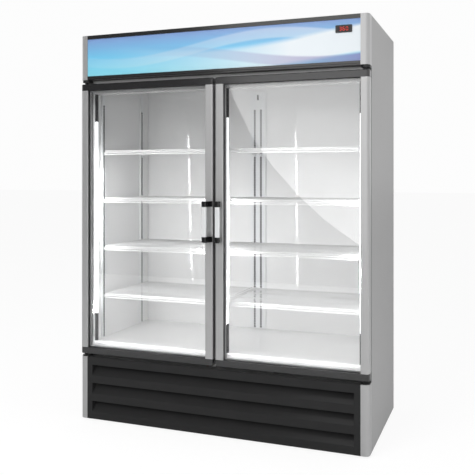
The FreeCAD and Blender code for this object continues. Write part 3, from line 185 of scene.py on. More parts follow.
def slab(shape, low, high):
    """Adds a box between two corners to a bmesh and returns its vertices."""
    low, high = Vector(low), Vector(high)
    place = Matrix.Translation((low + high) / 2) @ Matrix.Diagonal((*(high - low), 1))
    return bmesh.ops.create_cube(shape, size=1, matrix=place)["verts"]


def soften(shape, width, segments=2, edges=None):
    bmesh.ops.bevel(
        shape, geom=edges or shape.edges[:], offset=width, segments=segments, profile=0.5, affect="EDGES",
        material=-1, clamp_overlap=True,
    )


def join(shape, other):
    """Adds a finished bmesh to another one."""
    mesh = bpy.data.meshes.new("joined")
    other.to_mesh(mesh)
    other.free()
    shape.from_mesh(mesh)
    bpy.data.meshes.remove(mesh)


def screw_head(shape, place):
    """A pan head that looks along +Y, with its seat at a place."""
    seat = Matrix.Translation(place) @ Matrix.Rotation(-math.pi / 2, 4, "X")
    head = bmesh.new()
    bmesh.ops.create_cone(
        head, cap_ends=True, segments=HEAD_SIDES, radius1=SCREW_RADIUS,
        radius2=SCREW_RADIUS * HEAD_TAPER_SHARE, depth=SCREW_HEIGHT,
        matrix=Matrix.Translation((0, 0, SCREW_HEIGHT / 2)),
    )
    crown = [edge for edge in head.edges if all(vertex.co.z > SCREW_HEIGHT / 2 for vertex in edge.verts)]
    soften(head, SCREW_HEIGHT * CROWN_SHARE, 3, crown)
    bmesh.ops.transform(head, matrix=seat, verts=head.verts)
    join(shape, head)
    for turn in (0, math.pi / 2):
        arm = slab(
            shape, (-RECESS_LENGTH / 2, -RECESS_WIDTH / 2, SCREW_HEIGHT - RECESS_DEPTH),
            (RECESS_LENGTH / 2, RECESS_WIDTH / 2, SCREW_HEIGHT + RECESS_PROUD),
        )
        bmesh.ops.transform(shape, matrix=seat @ Matrix.Rotation(turn, 4, "Z"), verts=arm)
        # The arms take the second material, the painted shade of the recess.
        for face in {face for vertex in arm for face in vertex.link_faces}:
            face.material_index = 1


# The recess colour is painted shade: near-black standing in for the shade inside the cross recess.
painted_recess_shade, recess_shader, tap = finish("painted_recess_shade", {"Metallic": 0.6})
shades(tap, grain(tap, 300.0), (0.012, 0.012, 0.013), (0.03, 0.03, 0.032)).to(recess_shader, "Base Color")
(0.5 + 0.2 * grain(tap, 200.0)).to(recess_shader, "Roughness")
screws_low, screws_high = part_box("rear_cover_screws")
heads = bmesh.new()
for x in (screws_low.x + SCREW_RADIUS, 0, screws_high.x - SCREW_RADIUS):
    for z in (screws_low.z + SCREW_RADIUS * HEXAGON_SHARE, screws_high.z - SCREW_RADIUS * HEXAGON_SHARE):
        screw_head(heads, (x, screws_low.y, z))
screws = fit("cover_screw_heads", heads, "cabinet", zinc, painted_recess_shade)
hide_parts("rear_cover_screws")

# Levelling feet and the cord inlet: moulded in black rubber and black nylon.
# Both are dull, with a fine moulded texture that is a little worn on the raised parts.
def moulded(name, dark, pale, roughness, peel, depth):
    material, shader, tap = finish(name, {"Specular IOR Level": 0.35})
    texture = grain(tap, peel, 3.0)
    shades(tap, grain(tap, 14.0, 4.0), dark, pale).to(shader, "Base Color")
    (roughness + 0.14 * texture).to(shader, "Roughness")
    relief(tap, shader, texture, depth)
    return material


dull_rubber = moulded("dull_rubber", (0.012, 0.012, 0.012), (0.026, 0.026, 0.027), 0.62, 260.0, 0.0002)
black_nylon = moulded("black_nylon", (0.010, 0.010, 0.011), (0.022, 0.022, 0.023), 0.45, 340.0, 0.0001)
dress(dull_rubber, "levelling_feet")
dress(black_nylon, "cord_inlet", "left_door_bushes", "right_door_bushes")

# Insulation: rigid foam poured between the shell and the liner.
# It is closed in on all sides, and its cells give it a fine grain.
foam, foam_shader, tap = finish("rigid_foam", {"Roughness": 0.9})
cells = grain(tap, 160.0, 4.0)
shades(tap, cells, (0.55, 0.47, 0.27), (0.74, 0.67, 0.45)).to(foam_shader, "Base Color")
relief(tap, foam_shader, cells, 0.001)
dress(foam, "insulation")

# Liner, sealing frame and evaporator housing: steel sheet with a glossy white enamel.
# The sheet is not quite flat, so the lit tubes show in it as soft upright streaks.
def enamel(name, dark, pale, roughness):
    material, shader, tap = finish(name, {"Specular IOR Level": 0.5})
    clouds = grain(tap, 3.0, 3.0)
    shades(tap, clouds, dark, pale).to(shader, "Base Color")
    (roughness + 0.03 * grain(tap, 18.0, 3.0)).to(shader, "Roughness")
    relief(tap, shader, grain(tap, 2.0, 1.0), 0.00001)
    return material


white_enamel = enamel("white_enamel", (0.84, 0.84, 0.84), (0.87, 0.87, 0.87), 0.03)
dress(white_enamel, "inner_liner", "front_frame", "evaporator_housing")

# Mullion between the doors: a dark moulded facing over its insulated core.
# It stands between the sill and the head of the opening, and the door seals close against it.
dark_facing = moulded("dark_facing", (0.034, 0.034, 0.036), (0.048, 0.048, 0.050), 0.3, 300.0, 0.00006)
dress(dark_facing, "center_mullion")

# Corner posts and door stiles: aluminium extrusions, satin anodised.
# The drawing of the metal leaves fine upright lines that break up the gloss.
def drawn_metal(name, dark, pale, roughness, metallic):
    material, shader, tap = finish(name, {"Metallic": metallic, "Specular IOR Level": 0.5})
    lines = grain(tap, 1.0, 3.0, (900.0, 900.0, 5.0))
    clouds = grain(tap, 5.0, 3.0)
    shades(tap, 0.6 * lines + 0.4 * clouds, dark, pale).to(shader, "Base Color")
    (roughness + 0.1 * lines + 0.06 * clouds).to(shader, "Roughness")
    relief(tap, shader, lines, 0.000004)
    return material


satin_silver = drawn_metal("satin_silver", (0.445, 0.445, 0.447), (0.525, 0.525, 0.527), 0.3, 0.5)
bright_silver = drawn_metal("bright_silver", (0.84, 0.85, 0.86), (0.92, 0.93, 0.94), 0.26, 0.25)
dress(satin_silver, "corner_posts", "left_door_stiles", "right_door_stiles")
dress(bright_silver, "left_handle_bar", "right_handle_bar")

# Handle brackets, lamp end covers and display bezel: glossy black moulded plastic.
# The moulding has slow waves from cooling and a light haze of handling.
gloss_black, gloss_shader, tap = finish("gloss_black", {"Specular IOR Level": 0.5})
haze = grain(tap, 9.0, 4.0)
shades(tap, haze, (0.008, 0.008, 0.009), (0.015, 0.015, 0.016)).to(gloss_shader, "Base Color")
(0.07 + 0.10 * haze).to(gloss_shader, "Roughness")
relief(tap, gloss_shader, grain(tap, 12.0, 1.0), 0.00012)
dress(gloss_black, "left_handle_brackets", "right_handle_brackets", "lamp_end_covers", "temperature_display")

# Kick grille: black louver blades between bordered ends, under a plain fascia, set between the kick posts.
# It has a dull sheen, and a small cover closes each of its upper corners.
grille_black, grille_shader, tap = finish("grille_black", {"Specular IOR Level": 0.125})
haze = grain(tap, 9.0, 4.0)
shades(tap, haze, (0.025, 0.025, 0.0255), (0.031, 0.031, 0.0315)).to(grille_shader, "Base Color")
(0.16 + 0.10 * haze).to(grille_shader, "Roughness")
relief(tap, grille_shader, grain(tap, 12.0, 1.0), 0.00012)
dress(grille_black, "front_grille")
END_WIDTH = 0.0275
END_THICKNESS = 0.0025
END_EDGE_SHARE = 0.2
grille_low, grille_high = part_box("front_grille")
ends = bmesh.new()
for left in (grille_low.x, grille_high.x - END_WIDTH):
    slab(
        ends, (left, grille_low.y + END_THICKNESS, grille_high.z - END_THICKNESS),
        (left + END_WIDTH, grille_high.y, grille_high.z),
    )
soften(ends, END_THICKNESS * END_EDGE_SHARE)
fit("grille_end_covers", ends, "cabinet", grille_black)

# Header trims and door rails: black extrusions with a satin film that mirrors light softly.
# Fine lines from the drawing run along them.
satin_black, satin_shader, tap = finish("satin_black", {"Specular IOR Level": 0.8})
lines = grain(tap, 1.0, 3.0, (5.0, 900.0, 900.0))
shades(tap, lines, (0.014, 0.014, 0.015), (0.026, 0.026, 0.027)).to(satin_shader, "Base Color")
(0.14 + 0.08 * lines).to(satin_shader, "Roughness")
relief(tap, satin_shader, lines, 0.000004)
dress(satin_black, "header_trims", "left_door_rails", "right_door_rails")

# Header sign: a translucent printed sheet lit from behind by a tube.
# The print is a plain design of soft blue and white waves with a violet band.
SIGN_LOW, SIGN_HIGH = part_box("header_sign")
SKY = (0.190, 0.600, 0.880)
LAVENDER = (0.240, 0.360, 0.700)
PALE_CYAN = (0.270, 0.740, 0.890)
ICE_WHITE = (0.85, 0.91, 0.95)
VIOLET = (0.230, 0.175, 0.470)
BROAD_WAVE = (2.4, 0.40, 0.20, 4.6, 0.36)
THIN_WAVE = (3.9, 0.55, 0.24, 5.6, 0.15)
VIOLET_WAVE = (0.2, 0.30, 0.24, 5.0, 0.15)
CORE_SHARE = 0.55
print_sheet, print_shader, tap = finish("printed_sheet", {"Roughness": 0.22, "Emission Strength": 0.02})
place = tap.node("ShaderNodeTexCoord", {}, {}, "Object")
across = tap.node("ShaderNodeSeparateXYZ", {}, {"Vector": place}, "X")
along = (across - SIGN_LOW.x) / (SIGN_HIGH.x - SIGN_LOW.x)
level = tap.node("ShaderNodeSeparateXYZ", {}, {"Vector": place}, "Z")
up = (level - SIGN_LOW.z) / (SIGN_HIGH.z - SIGN_LOW.z)


def wave(start, lift, swing, turns, width):
    """How far a soft band that follows a sine covers the sheet, from 0 to 1."""
    line = lift + swing * tap.maths("SINE", along * turns + start)
    apart = tap.maths("ABSOLUTE", up - line)
    return tap.node(
        "ShaderNodeMapRange", {"interpolation_type": "SMOOTHSTEP"},
        {"Value": apart, "From Min": CORE_SHARE * width, "From Max": width, "To Min": 1.0, "To Max": 0.0},
    )


def over(below, share, colour):
    return tap.node("ShaderNodeMix", {"data_type": "RGBA"}, {0: share, 6: below, 7: (*colour, 1)}, 2)


tones = ((0.05, PALE_CYAN), (0.5, SKY), (1.0, LAVENDER))
print_colour = tap.node("ShaderNodeValToRGB", {"stops": tones}, {"Fac": up}, "Color")
print_colour = over(print_colour, wave(*BROAD_WAVE) * (1.7 * along * along), ICE_WHITE)
print_colour = over(print_colour, wave(*THIN_WAVE) * (0.08 + 0.40 * along), ICE_WHITE)
print_colour = over(print_colour, wave(*VIOLET_WAVE) * (along * along * 0.8), VIOLET)
print_colour.to(print_shader, "Base Color")
print_colour.to(print_shader, "Emission Color")
dress(print_sheet, "header_sign")

# Temperature display: dark red window set in the black bezel, with lit bar digits behind it.
# Each digit is made of seven slanted-end bars, and only plain numbers are shown.
DISPLAY_LOW, DISPLAY_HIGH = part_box("temperature_display")
WINDOW_WIDTH = 0.058
WINDOW_HEIGHT = 0.022
WINDOW_THICKNESS = 0.0004
WINDOW_EDGE_SHARE = 0.45
DIGIT_WIDTH = 0.0085
DIGIT_HEIGHT = 0.0155
DIGIT_PITCH = 0.0150
BAR_WIDTH = 0.0019
BAR_THICKNESS = 0.0003
BAR_EDGE_SHARE = 0.4
SHOWN_NUMBER = "360"
DIGITS = {"3": "abgcd", "6": "afgedc", "0": "abcdef"}
BARS = {
    "a": ((0.5, 1.0), True), "b": ((1.0, 0.75), False), "c": ((1.0, 0.25), False), "d": ((0.5, 0.0), True),
    "e": ((0.0, 0.25), False), "f": ((0.0, 0.75), False), "g": ((0.5, 0.5), True),
}
red_window, window_shader, tap = finish("red_window", {"Roughness": 0.08, "Specular IOR Level": 0.4})
shades(tap, grain(tap, 60.0), (0.012, 0.002, 0.002), (0.022, 0.003, 0.003)).to(window_shader, "Base Color")
lit_red, red_shader, tap = finish("lit_red", {"Roughness": 0.4, "Emission Strength": 1.0})
shades(tap, grain(tap, 500.0), (0.70, 0.030, 0.015), (0.85, 0.055, 0.025)).to(red_shader, "Emission Color")
red_shader.inputs["Base Color"].default_value = (0.3, 0.01, 0.01, 1)
display_centre = (DISPLAY_LOW + DISPLAY_HIGH) / 2
window_face = DISPLAY_LOW.y - WINDOW_THICKNESS
window = bmesh.new()
slab(
    window, (display_centre.x - WINDOW_WIDTH / 2, window_face, display_centre.z - WINDOW_HEIGHT / 2),
    (display_centre.x + WINDOW_WIDTH / 2, DISPLAY_LOW.y, display_centre.z + WINDOW_HEIGHT / 2),
)
soften(window, WINDOW_THICKNESS * WINDOW_EDGE_SHARE)
fit("display_window", window, "cabinet", red_window)
digits = bmesh.new()
for number, digit in enumerate(SHOWN_NUMBER):
    left = display_centre.x + (number - 1) * DIGIT_PITCH - DIGIT_WIDTH / 2
    bottom = display_centre.z - DIGIT_HEIGHT / 2
    for bar in DIGITS[digit]:
        (x_share, z_share), level = BARS[bar]
        length = DIGIT_WIDTH - BAR_WIDTH if level else DIGIT_HEIGHT / 2 - BAR_WIDTH
        reach = Vector((length / 2, 0, BAR_WIDTH / 2) if level else (BAR_WIDTH / 2, 0, length / 2))
        middle = Vector((left + DIGIT_WIDTH * x_share, window_face, bottom + DIGIT_HEIGHT * z_share))
        slab(digits, middle - reach - Vector((0, BAR_THICKNESS, 0)), middle + reach)
soften(digits, BAR_THICKNESS * BAR_EDGE_SHARE, 1)
fit("display_digits", digits, "cabinet", lit_red)

# Door glass: two clear panes in each door, sealed apart by a grey spacer frame and held by black beads.
# A pane lets straight light through and mirrors a share that grows towards the edge of sight.
STRAIGHT_GLOSS = 0.038
GLOSS_POWER = 5.0
clear_pane = bpy.data.materials.new("clear_pane")
clear_pane.use_nodes = True
pane_nodes = clear_pane.node_tree.nodes
pane_nodes.remove(pane_nodes["Principled BSDF"])
tap = Tap(clear_pane.node_tree)
see_through = tap.node("ShaderNodeBsdfTransparent", {}, {"Color": (0.985, 0.986, 0.986, 1)})
smear = grain(tap, 4.0, 3.0)
mirror = tap.node("ShaderNodeBsdfGlossy", {}, {"Color": (1, 1, 1, 1), "Roughness": 0.01})
slant = tap.node("ShaderNodeLayerWeight", {}, {"Blend": 0.5}, "Facing")
edge_gloss = STRAIGHT_GLOSS + (1 - STRAIGHT_GLOSS) * tap.maths("POWER", slant, GLOSS_POWER)
pane = tap.node("ShaderNodeMixShader", {}, {0: edge_gloss * (0.9 + 0.2 * smear), 1: see_through, 2: mirror})
pane.to(pane_nodes["Material Output"], "Surface")
dress(clear_pane, "left_door_glass", "right_door_glass")

GLASS_POCKET = 0.010
SPACER_SHOWN = 0.004
SPACER_INSET = 0.0005
BEAD_WIDTH = 0.0015
BEAD_REACH = 0.013
BEAD_SETBACK = 0.0005
RING_EDGE_SHARE = 0.22
PANE_THICKNESS = 0.004
black_bead = moulded("black_bead", (0.020, 0.020, 0.020), (0.032, 0.032, 0.033), 0.48, 220.0, 0.0001)
spacer_grey = moulded("spacer_grey", (0.34, 0.34, 0.345), (0.42, 0.42, 0.425), 0.4, 500.0, 0.00005)


def ring(shape, low, high, width):
    """An upright rectangular frame between two corners, of a given width, cut from one flat sheet."""
    sheet = bmesh.new()
    middle = (low + high) / 2
    size = high - low
    bmesh.ops.create_grid(
        sheet, x_segments=1, y_segments=1, size=0.5,
        matrix=Matrix.Translation((middle.x, low.y, middle.z)) @ Matrix.Rotation(math.pi / 2, 4, "X")
        @ Matrix.Diagonal((size.x, size.z, 1, 1)),
    )
    inner = sheet.faces[:]
    bmesh.ops.inset_region(sheet, faces=inner, thickness=width, use_boundary=True, use_even_offset=True)
    bmesh.ops.delete(sheet, geom=inner, context="FACES")
    grown = bmesh.ops.extrude_face_region(sheet, geom=sheet.faces[:])["geom"]
    moved = [item for item in grown if isinstance(item, bmesh.types.BMVert)]
    bmesh.ops.translate(sheet, vec=(0, size.y, 0), verts=moved)
    bmesh.ops.recalc_face_normals(sheet, faces=sheet.faces[:])
    soften(sheet, min(width, size.y) * RING_EDGE_SHARE)
    join(shape, sheet)


for word in ("left", "right"):
    pane_low, pane_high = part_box(f"{word}_door_glass")
    bead_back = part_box(f"{word}_door_stiles")[1].y - BEAD_SETBACK
    opening_low = Vector((pane_low.x + GLASS_POCKET, pane_low.y, pane_low.z + GLASS_POCKET))
    opening_high = Vector((pane_high.x - GLASS_POCKET, pane_high.y, pane_high.z - GLASS_POCKET))
    beads = bmesh.new()
    ring(
        beads, Vector((opening_low.x, pane_low.y - BEAD_REACH, opening_low.z)),
        Vector((opening_high.x, pane_low.y, opening_high.z)), BEAD_WIDTH,
    )
    ring(
        beads, Vector((opening_low.x, pane_high.y, opening_low.z)),
        Vector((opening_high.x, bead_back, opening_high.z)), BEAD_WIDTH,
    )
    fit(f"{word}_glazing_beads", beads, f"{word}_door", black_bead)
    spacer = bmesh.new()
    inset = Vector((SPACER_INSET, 0, SPACER_INSET))
    ring(
        spacer, Vector((pane_low.x, pane_low.y + PANE_THICKNESS, pane_low.z)) + inset,
        Vector((pane_high.x, pane_high.y - PANE_THICKNESS, pane_high.z)) - inset,
        GLASS_POCKET + SPACER_SHOWN,
    )
    fit(f"{word}_glass_spacer", spacer, f"{word}_door", spacer_grey)

# Door gaskets: soft extruded vinyl pressed into the back of each door.
# The vinyl is dull and grey, with a fine grain.
soft_vinyl = moulded("soft_vinyl", (0.26, 0.26, 0.265), (0.31, 0.31, 0.315), 0.5, 120.0, 0.0001)
dress(soft_vinyl, "left_door_gasket", "right_door_gasket")

# Hinge plates and the header's light box: steel with a black coat, which on the light box is painted shade.
# The plates are screwed to the frame above and below each door, and the box is folded from one sheet.
black_coat_and_header_shade = powder_coat("black_coat_and_header_shade", (0.014, 0.014, 0.015), (0.022, 0.022, 0.023), 0.38)
# On the header's light box the black coat is painted shade: it darkens the underside where the shade under
# the header falls; the hinge plates are black in their own right.
dress(black_coat_and_header_shade, "hinge_plates", "header_housing")

# Lamps: frosted glass tubes beside the opening, lit, and the plain tube behind the sign.
# The coat inside the glass is a little uneven, so the tubes don't glow quite alike.
lit_tube, tube_shader, tap = finish("lit_tube", {"Roughness": 0.35, "Emission Strength": 1.4})
shades(tap, grain(tap, 30.0), (0.94, 0.97, 1.0), (0.98, 0.99, 1.0)).to(tube_shader, "Emission Color")
tube_shader.inputs["Base Color"].default_value = (0.9, 0.9, 0.9, 1)
dress(lit_tube, "lamp_tubes")
frosted_tube, frost_shader, tap = finish("frosted_tube", {"Specular IOR Level": 0.5})
shades(tap, grain(tap, 30.0), (0.78, 0.79, 0.80), (0.86, 0.87, 0.88)).to(frost_shader, "Base Color")
(0.3 + 0.1 * grain(tap, 80.0)).to(frost_shader, "Roughness")
dress(frosted_tube, "header_lamp")

# Shelf standards: white coated uprights with close rows of slots, fixed to the walls and the mullion.
# Each slot is a short upright opening, pushed in, whose floor and walls are near-black as painted shade of
# the hollow of the upright behind it.
# The heads are plain, apart from a keyhole in those of the two broad uprights.
SLOT_WIDTH = 0.0115
SIDE_SLOT_WIDTH = 0.014
SLOT_HEIGHT = 0.0105
SLOT_PITCH = 0.256 / 18
STRIP_WIDTH = 0.018
SLOT_DEPTH = 0.004
PLAIN_TOP = 0.092
KEYHOLE = (0.010, 0.030)
KEYHOLE_DROP = 0.030
WELD_REACH = 0.00001
white_coat = powder_coat("white_coat", (0.76, 0.77, 0.78), (0.80, 0.81, 0.82), 0.3)
# The slot material is painted shade: near-black where the shade inside the hollow upright falls.
painted_slot_shade = moulded("painted_slot_shade", (0.016, 0.016, 0.017), (0.028, 0.028, 0.030), 0.7, 300.0, 0.0001)


def plate(shape, left, right, bottom, top):
    """One flat face of an upright, in the plane of X and Z, that looks along -Y."""
    place = Matrix.Translation(((left + right) / 2, 0, (bottom + top) / 2))
    scale = Matrix.Diagonal((right - left, top - bottom, 1, 1))
    turn = Matrix.Rotation(math.pi / 2, 4, "X")
    made = bmesh.ops.create_grid(shape, x_segments=1, y_segments=1, size=0.5, matrix=place @ turn @ scale)
    return list({face for vertex in made["verts"] for face in vertex.link_faces})


def push_slot(shape, faces, middle, size):
    """Cuts a slot about a point out of flat faces and pushes it in."""
    for axis, reach in ((Vector((1, 0, 0)), size[0] / 2), (Vector((0, 0, 1)), size[1] / 2)):
        for way in (-1, 1):
            parts = faces + list({edge for face in faces for edge in face.edges})
            parts += list({vertex for face in faces for vertex in face.verts})
            point = middle + axis * reach * way
            split = bmesh.ops.bisect_plane(shape, geom=parts, plane_co=point, plane_no=axis)["geom"]
            faces = [item for item in split if isinstance(item, bmesh.types.BMFace)]
    slot = min(faces, key=lambda face: (face.calc_center_median() - middle).length)
    pushed = bmesh.ops.extrude_face_region(shape, geom=[slot])["geom"]
    bottom = [item for item in pushed if isinstance(item, bmesh.types.BMVert)]
    bmesh.ops.translate(shape, vec=(0, SLOT_DEPTH, 0), verts=bottom)
    bmesh.ops.delete(shape, geom=[slot], context="FACES_ONLY")
    # The pushed floor and walls take the second material, the painted shade of the slot.
    for face in {face for vertex in bottom for face in vertex.link_faces}:
        face.material_index = 1


def upright(width, height, depth, columns, slot_width):
    """A slotted upright that looks along -Y, with the middle of its foot's front edge at the origin."""
    shape = bmesh.new()
    rows = int((height - PLAIN_TOP) / SLOT_PITCH)
    slots_top = SLOT_PITCH * rows
    for column in columns:
        cell = plate(shape, column - STRIP_WIDTH / 2, column + STRIP_WIDTH / 2, 0, SLOT_PITCH)
        push_slot(shape, cell, Vector((column, 0, SLOT_PITCH / 2)), (slot_width, SLOT_HEIGHT))
    cells = shape.verts[:] + shape.edges[:] + shape.faces[:]
    for row in range(1, rows):
        copied = bmesh.ops.duplicate(shape, geom=cells)["geom"]
        copied = [item for item in copied if isinstance(item, bmesh.types.BMVert)]
        bmesh.ops.translate(shape, vec=(0, 0, SLOT_PITCH * row), verts=copied)
    head = plate(shape, -width / 2, width / 2, slots_top, height)
    if len(columns) > 1:
        push_slot(shape, head, Vector((0, 0, height - KEYHOLE_DROP)), KEYHOLE)
    edges = [-width / 2]
    for column in columns:
        edges += [column - STRIP_WIDTH / 2, column + STRIP_WIDTH / 2]
    edges.append(width / 2)
    for left, right in zip(edges[::2], edges[1::2]):
        plate(shape, left, right, 0, slots_top)
    box = slab(shape, (-width / 2, 0, 0), (width / 2, depth, height))
    front = [face for vertex in box for face in vertex.link_faces if face.normal.y < -0.5]
    bmesh.ops.delete(shape, geom=list(set(front)), context="FACES_ONLY")
    bmesh.ops.remove_doubles(shape, verts=shape.verts, dist=WELD_REACH)
    return shape


STANDARDS_LOW, STANDARDS_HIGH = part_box("shelf_standards")
STANDARD_DEPTH = 0.010
REAR_WIDTH = 0.095
WALL_WIDTH = 0.028
COLUMN = 0.0185
SIDE_ROWS = (-0.201, 0.225)
standard_height = STANDARDS_HIGH.z - STANDARDS_LOW.z
mullion_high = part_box("center_mullion")[1]
placed = [
    (REAR_WIDTH, (-COLUMN, COLUMN), SLOT_WIDTH, 0, (0, STANDARDS_HIGH.y - STANDARD_DEPTH)),
    (mullion_high.x * 2, (-COLUMN, COLUMN), SLOT_WIDTH, math.pi, (0, mullion_high.y + STANDARD_DEPTH)),
]
for row in SIDE_ROWS:
    for turn, x in (
        (math.pi / 2, STANDARDS_LOW.x + STANDARD_DEPTH), (-math.pi / 2, STANDARDS_HIGH.x - STANDARD_DEPTH),
    ):
        placed.append((WALL_WIDTH, (0,), SIDE_SLOT_WIDTH, turn, (x, row)))
uprights = bmesh.new()
for width, columns, slot_width, turn, (x, y) in placed:
    one = upright(width, standard_height, STANDARD_DEPTH, columns, slot_width)
    stand = Matrix.Translation((x, y, STANDARDS_LOW.z)) @ Matrix.Rotation(turn, 4, "Z")
    bmesh.ops.transform(one, matrix=stand, verts=one.verts)
    join(uprights, one)
standards = fit("slotted_standards", uprights, "cabinet", white_coat, painted_slot_shade)
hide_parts("shelf_standards")
dress(white_coat, "shelf_clips")

# Shelves: steel wires welded side by side over cross rods and bent down over a three-wire front edge.
# They are dipped in a white epoxy coat and rest on the clips of the standards.
WIRE_RADIUS = 0.0016
ROD_RADIUS = 0.0028
WIRE_PITCH = 0.0142
WIRE_SIDES = 6
ROD_BITE = 0.0004
SIDE_DROP = 0.012
CROSS_ROD_SHARES = (0.03, 0.34, 0.66, 0.97)
epoxy_white = powder_coat("epoxy_white", (0.80, 0.80, 0.80), (0.86, 0.86, 0.86), 0.28)


def wire(shape, start, end, radius):
    """Adds a straight round wire between two points."""
    start, end = Vector(start), Vector(end)
    turn = (end - start).to_track_quat("Z", "Y").to_matrix().to_4x4()
    made = bmesh.ops.create_cone(
        shape, cap_ends=True, segments=WIRE_SIDES, radius1=radius, radius2=radius,
        depth=(end - start).length, matrix=Matrix.Translation((start + end) / 2) @ turn,
    )
    for face in {face for vertex in made["verts"] for face in vertex.link_faces}:
        face.smooth = len(face.verts) == 4


for word in ("left", "right"):
    for number in (1, 2, 3, 4):
        low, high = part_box(f"{word}_shelf_{number}")
        shelf = bmesh.new()
        top = high.z - WIRE_RADIUS
        drop = low.z + ROD_RADIUS
        nose = low.y + ROD_RADIUS
        count = int((high.x - low.x - 4 * ROD_RADIUS) / WIRE_PITCH)
        first = (low.x + high.x - count * WIRE_PITCH) / 2
        for step in range(count + 1):
            x = first + WIRE_PITCH * step
            wire(shelf, (x, nose, top), (x, high.y - WIRE_RADIUS, top), WIRE_RADIUS)
            wire(shelf, (x, nose, top), (x, nose, drop), WIRE_RADIUS)
        edges = (low.x + ROD_RADIUS, high.x - ROD_RADIUS)
        rod_level = top - WIRE_RADIUS - ROD_RADIUS + ROD_BITE
        side_level = high.z - SIDE_DROP + ROD_RADIUS
        for z in (high.z - ROD_RADIUS, (high.z + drop) / 2, drop):
            wire(shelf, (low.x, nose, z), (high.x, nose, z), ROD_RADIUS)
        for share in CROSS_ROD_SHARES:
            y = low.y + (high.y - low.y) * share
            wire(shelf, (low.x, y, rod_level), (high.x, y, rod_level), ROD_RADIUS)
        for x in edges:
            wire(shelf, (x, nose, top), (x, high.y, top), ROD_RADIUS)
            wire(shelf, (x, nose, side_level), (x, high.y, side_level), ROD_RADIUS)
            wire(shelf, (x, nose, top), (x, nose, low.z), ROD_RADIUS)
        piece = fit(f"{word}_wire_shelf_{number}", shelf, "cabinet", epoxy_white)
        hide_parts(f"{word}_shelf_{number}")

# Condensing unit: black enamelled compressor, finned coil, copper line and fan motor on the base pan.
# The coil's thin fins stand close together across its face, drawn as pale stripes with near-black painted
# shade in the gaps between them.
FIN_RATE = 2400.0
fin_metal, fin_shader, tap = finish("fin_metal", {"Metallic": 0.9})
place = tap.node("ShaderNodeTexCoord", {}, {}, "Object")
fins_and_gap_shade = tap.maths("SINE", tap.node("ShaderNodeSeparateXYZ", {}, {"Vector": place}, "X") * FIN_RATE)
# The dark half of each stripe is painted shade between the fins; the pale half is the fin metal.
shades(tap, 0.5 + 0.5 * fins_and_gap_shade, (0.10, 0.10, 0.105), (0.56, 0.57, 0.58)).to(fin_shader, "Base Color")
(0.35 + 0.15 * grain(tap, 20.0)).to(fin_shader, "Roughness")
relief(tap, fin_shader, fins_and_gap_shade, 0.0006)
dress(fin_metal, "condenser_coil", "evaporator_coil")
compressor_enamel = powder_coat("compressor_enamel", (0.010, 0.010, 0.011), (0.018, 0.018, 0.019), 0.24)
dress(compressor_enamel, "compressor")
motor_steel = drawn_metal("motor_steel", (0.30, 0.31, 0.32), (0.42, 0.43, 0.44), 0.34, 0.9)
dress(motor_steel, "condenser_fan_motor", "evaporator_fan_motors")
copper, copper_shader, tap = finish("copper_tube", {"Metallic": 1.0})
patina = grain(tap, 22.0, 4.0)
shades(tap, patina, (0.36, 0.15, 0.08), (0.72, 0.36, 0.22)).to(copper_shader, "Base Color")
(0.24 + 0.25 * patina).to(copper_shader, "Roughness")
dress(copper, "refrigerant_line")

# Fans: moulded blades and hubs of dull black plastic.
# Each is pressed on the shaft of its own motor.
fan_black = moulded("fan_black", (0.018, 0.018, 0.019), (0.034, 0.034, 0.036), 0.42, 200.0, 0.0001)
dress(fan_black, "condenser_fan", "left_evaporator_fan", "right_evaporator_fan")

# Studio: a white floor and backdrop, and soft light from the front and above.
# A dim screen stands where the doors' mirror image looks, with a softbox in front of its right side.
AMBIENT = 0.44
SHOWN = 0.98
FLOOR_REACH = 60.0
FLOOR_GLOW = 1.10
GLOW_SHARE = 0.8
world = bpy.data.worlds.new("studio")
bpy.context.scene.world = world
world.use_nodes = True
tap = Tap(world.node_tree)
seen = tap.node("ShaderNodeLightPath", {}, {}, "Is Camera Ray")
mirrored = tap.node("ShaderNodeLightPath", {}, {}, "Is Glossy Ray")
through = tap.node("ShaderNodeLightPath", {}, {}, "Is Transmission Ray")
plain = tap.maths("MAXIMUM", tap.maths("MAXIMUM", seen, mirrored), through)
(AMBIENT + (SHOWN - AMBIENT) * plain).to(world.node_tree.nodes["Background"], "Strength")
world.node_tree.nodes["Background"].inputs["Color"].default_value = (1, 1, 1, 1)

floor_white, floor_shader, tap = finish("floor_white", {"Roughness": 0.9, "Specular IOR Level": 0.0})
shades(tap, grain(tap, 0.8), (0.86, 0.86, 0.86), (0.88, 0.88, 0.88)).to(floor_shader, "Base Color")
seen = tap.node("ShaderNodeLightPath", {}, {}, "Is Camera Ray")
glow = tap.node("ShaderNodeEmission", {}, {"Color": (1, 1, 1, 1), "Strength": FLOOR_GLOW})
floor_nodes = floor_white.node_tree.nodes
ground = Tap(floor_white.node_tree, floor_shader.outputs[0])
shown = tap.node("ShaderNodeMixShader", {}, {0: seen * GLOW_SHARE, 1: ground, 2: glow})
shown.to(floor_nodes["Material Output"], "Surface")


def stage(name, shape, material):
    mesh = bpy.data.meshes.new(name)
    shape.to_mesh(mesh)
    shape.free()
    mesh.materials.append(material)
    made = bpy.data.objects.new(name, mesh)
    bpy.context.scene.collection.objects.link(made)
    return made


ground_sheet = bmesh.new()
bmesh.ops.create_grid(ground_sheet, x_segments=1, y_segments=1, size=FLOOR_REACH)
stage("floor", ground_sheet, floor_white)


def only_mirrored(item):
    item.visible_camera = False
    item.visible_diffuse = False
    item.visible_transmission = False
    item.visible_shadow = False


def card(name, corners, level):
    """A flat sheet that only mirror images show, at a fixed brightness."""
    glowing = bpy.data.materials.new(name)
    glowing.use_nodes = True
    nodes = glowing.node_tree.nodes
    nodes.remove(nodes["Principled BSDF"])
    lit = Tap(glowing.node_tree).node("ShaderNodeEmission", {}, {"Color": (1, 1, 1, 1), "Strength": level})
    lit.to(nodes["Material Output"], "Surface")
    shape = bmesh.new()
    shape.faces.new([shape.verts.new(corner) for corner in corners])
    only_mirrored(stage(name, shape, glowing))


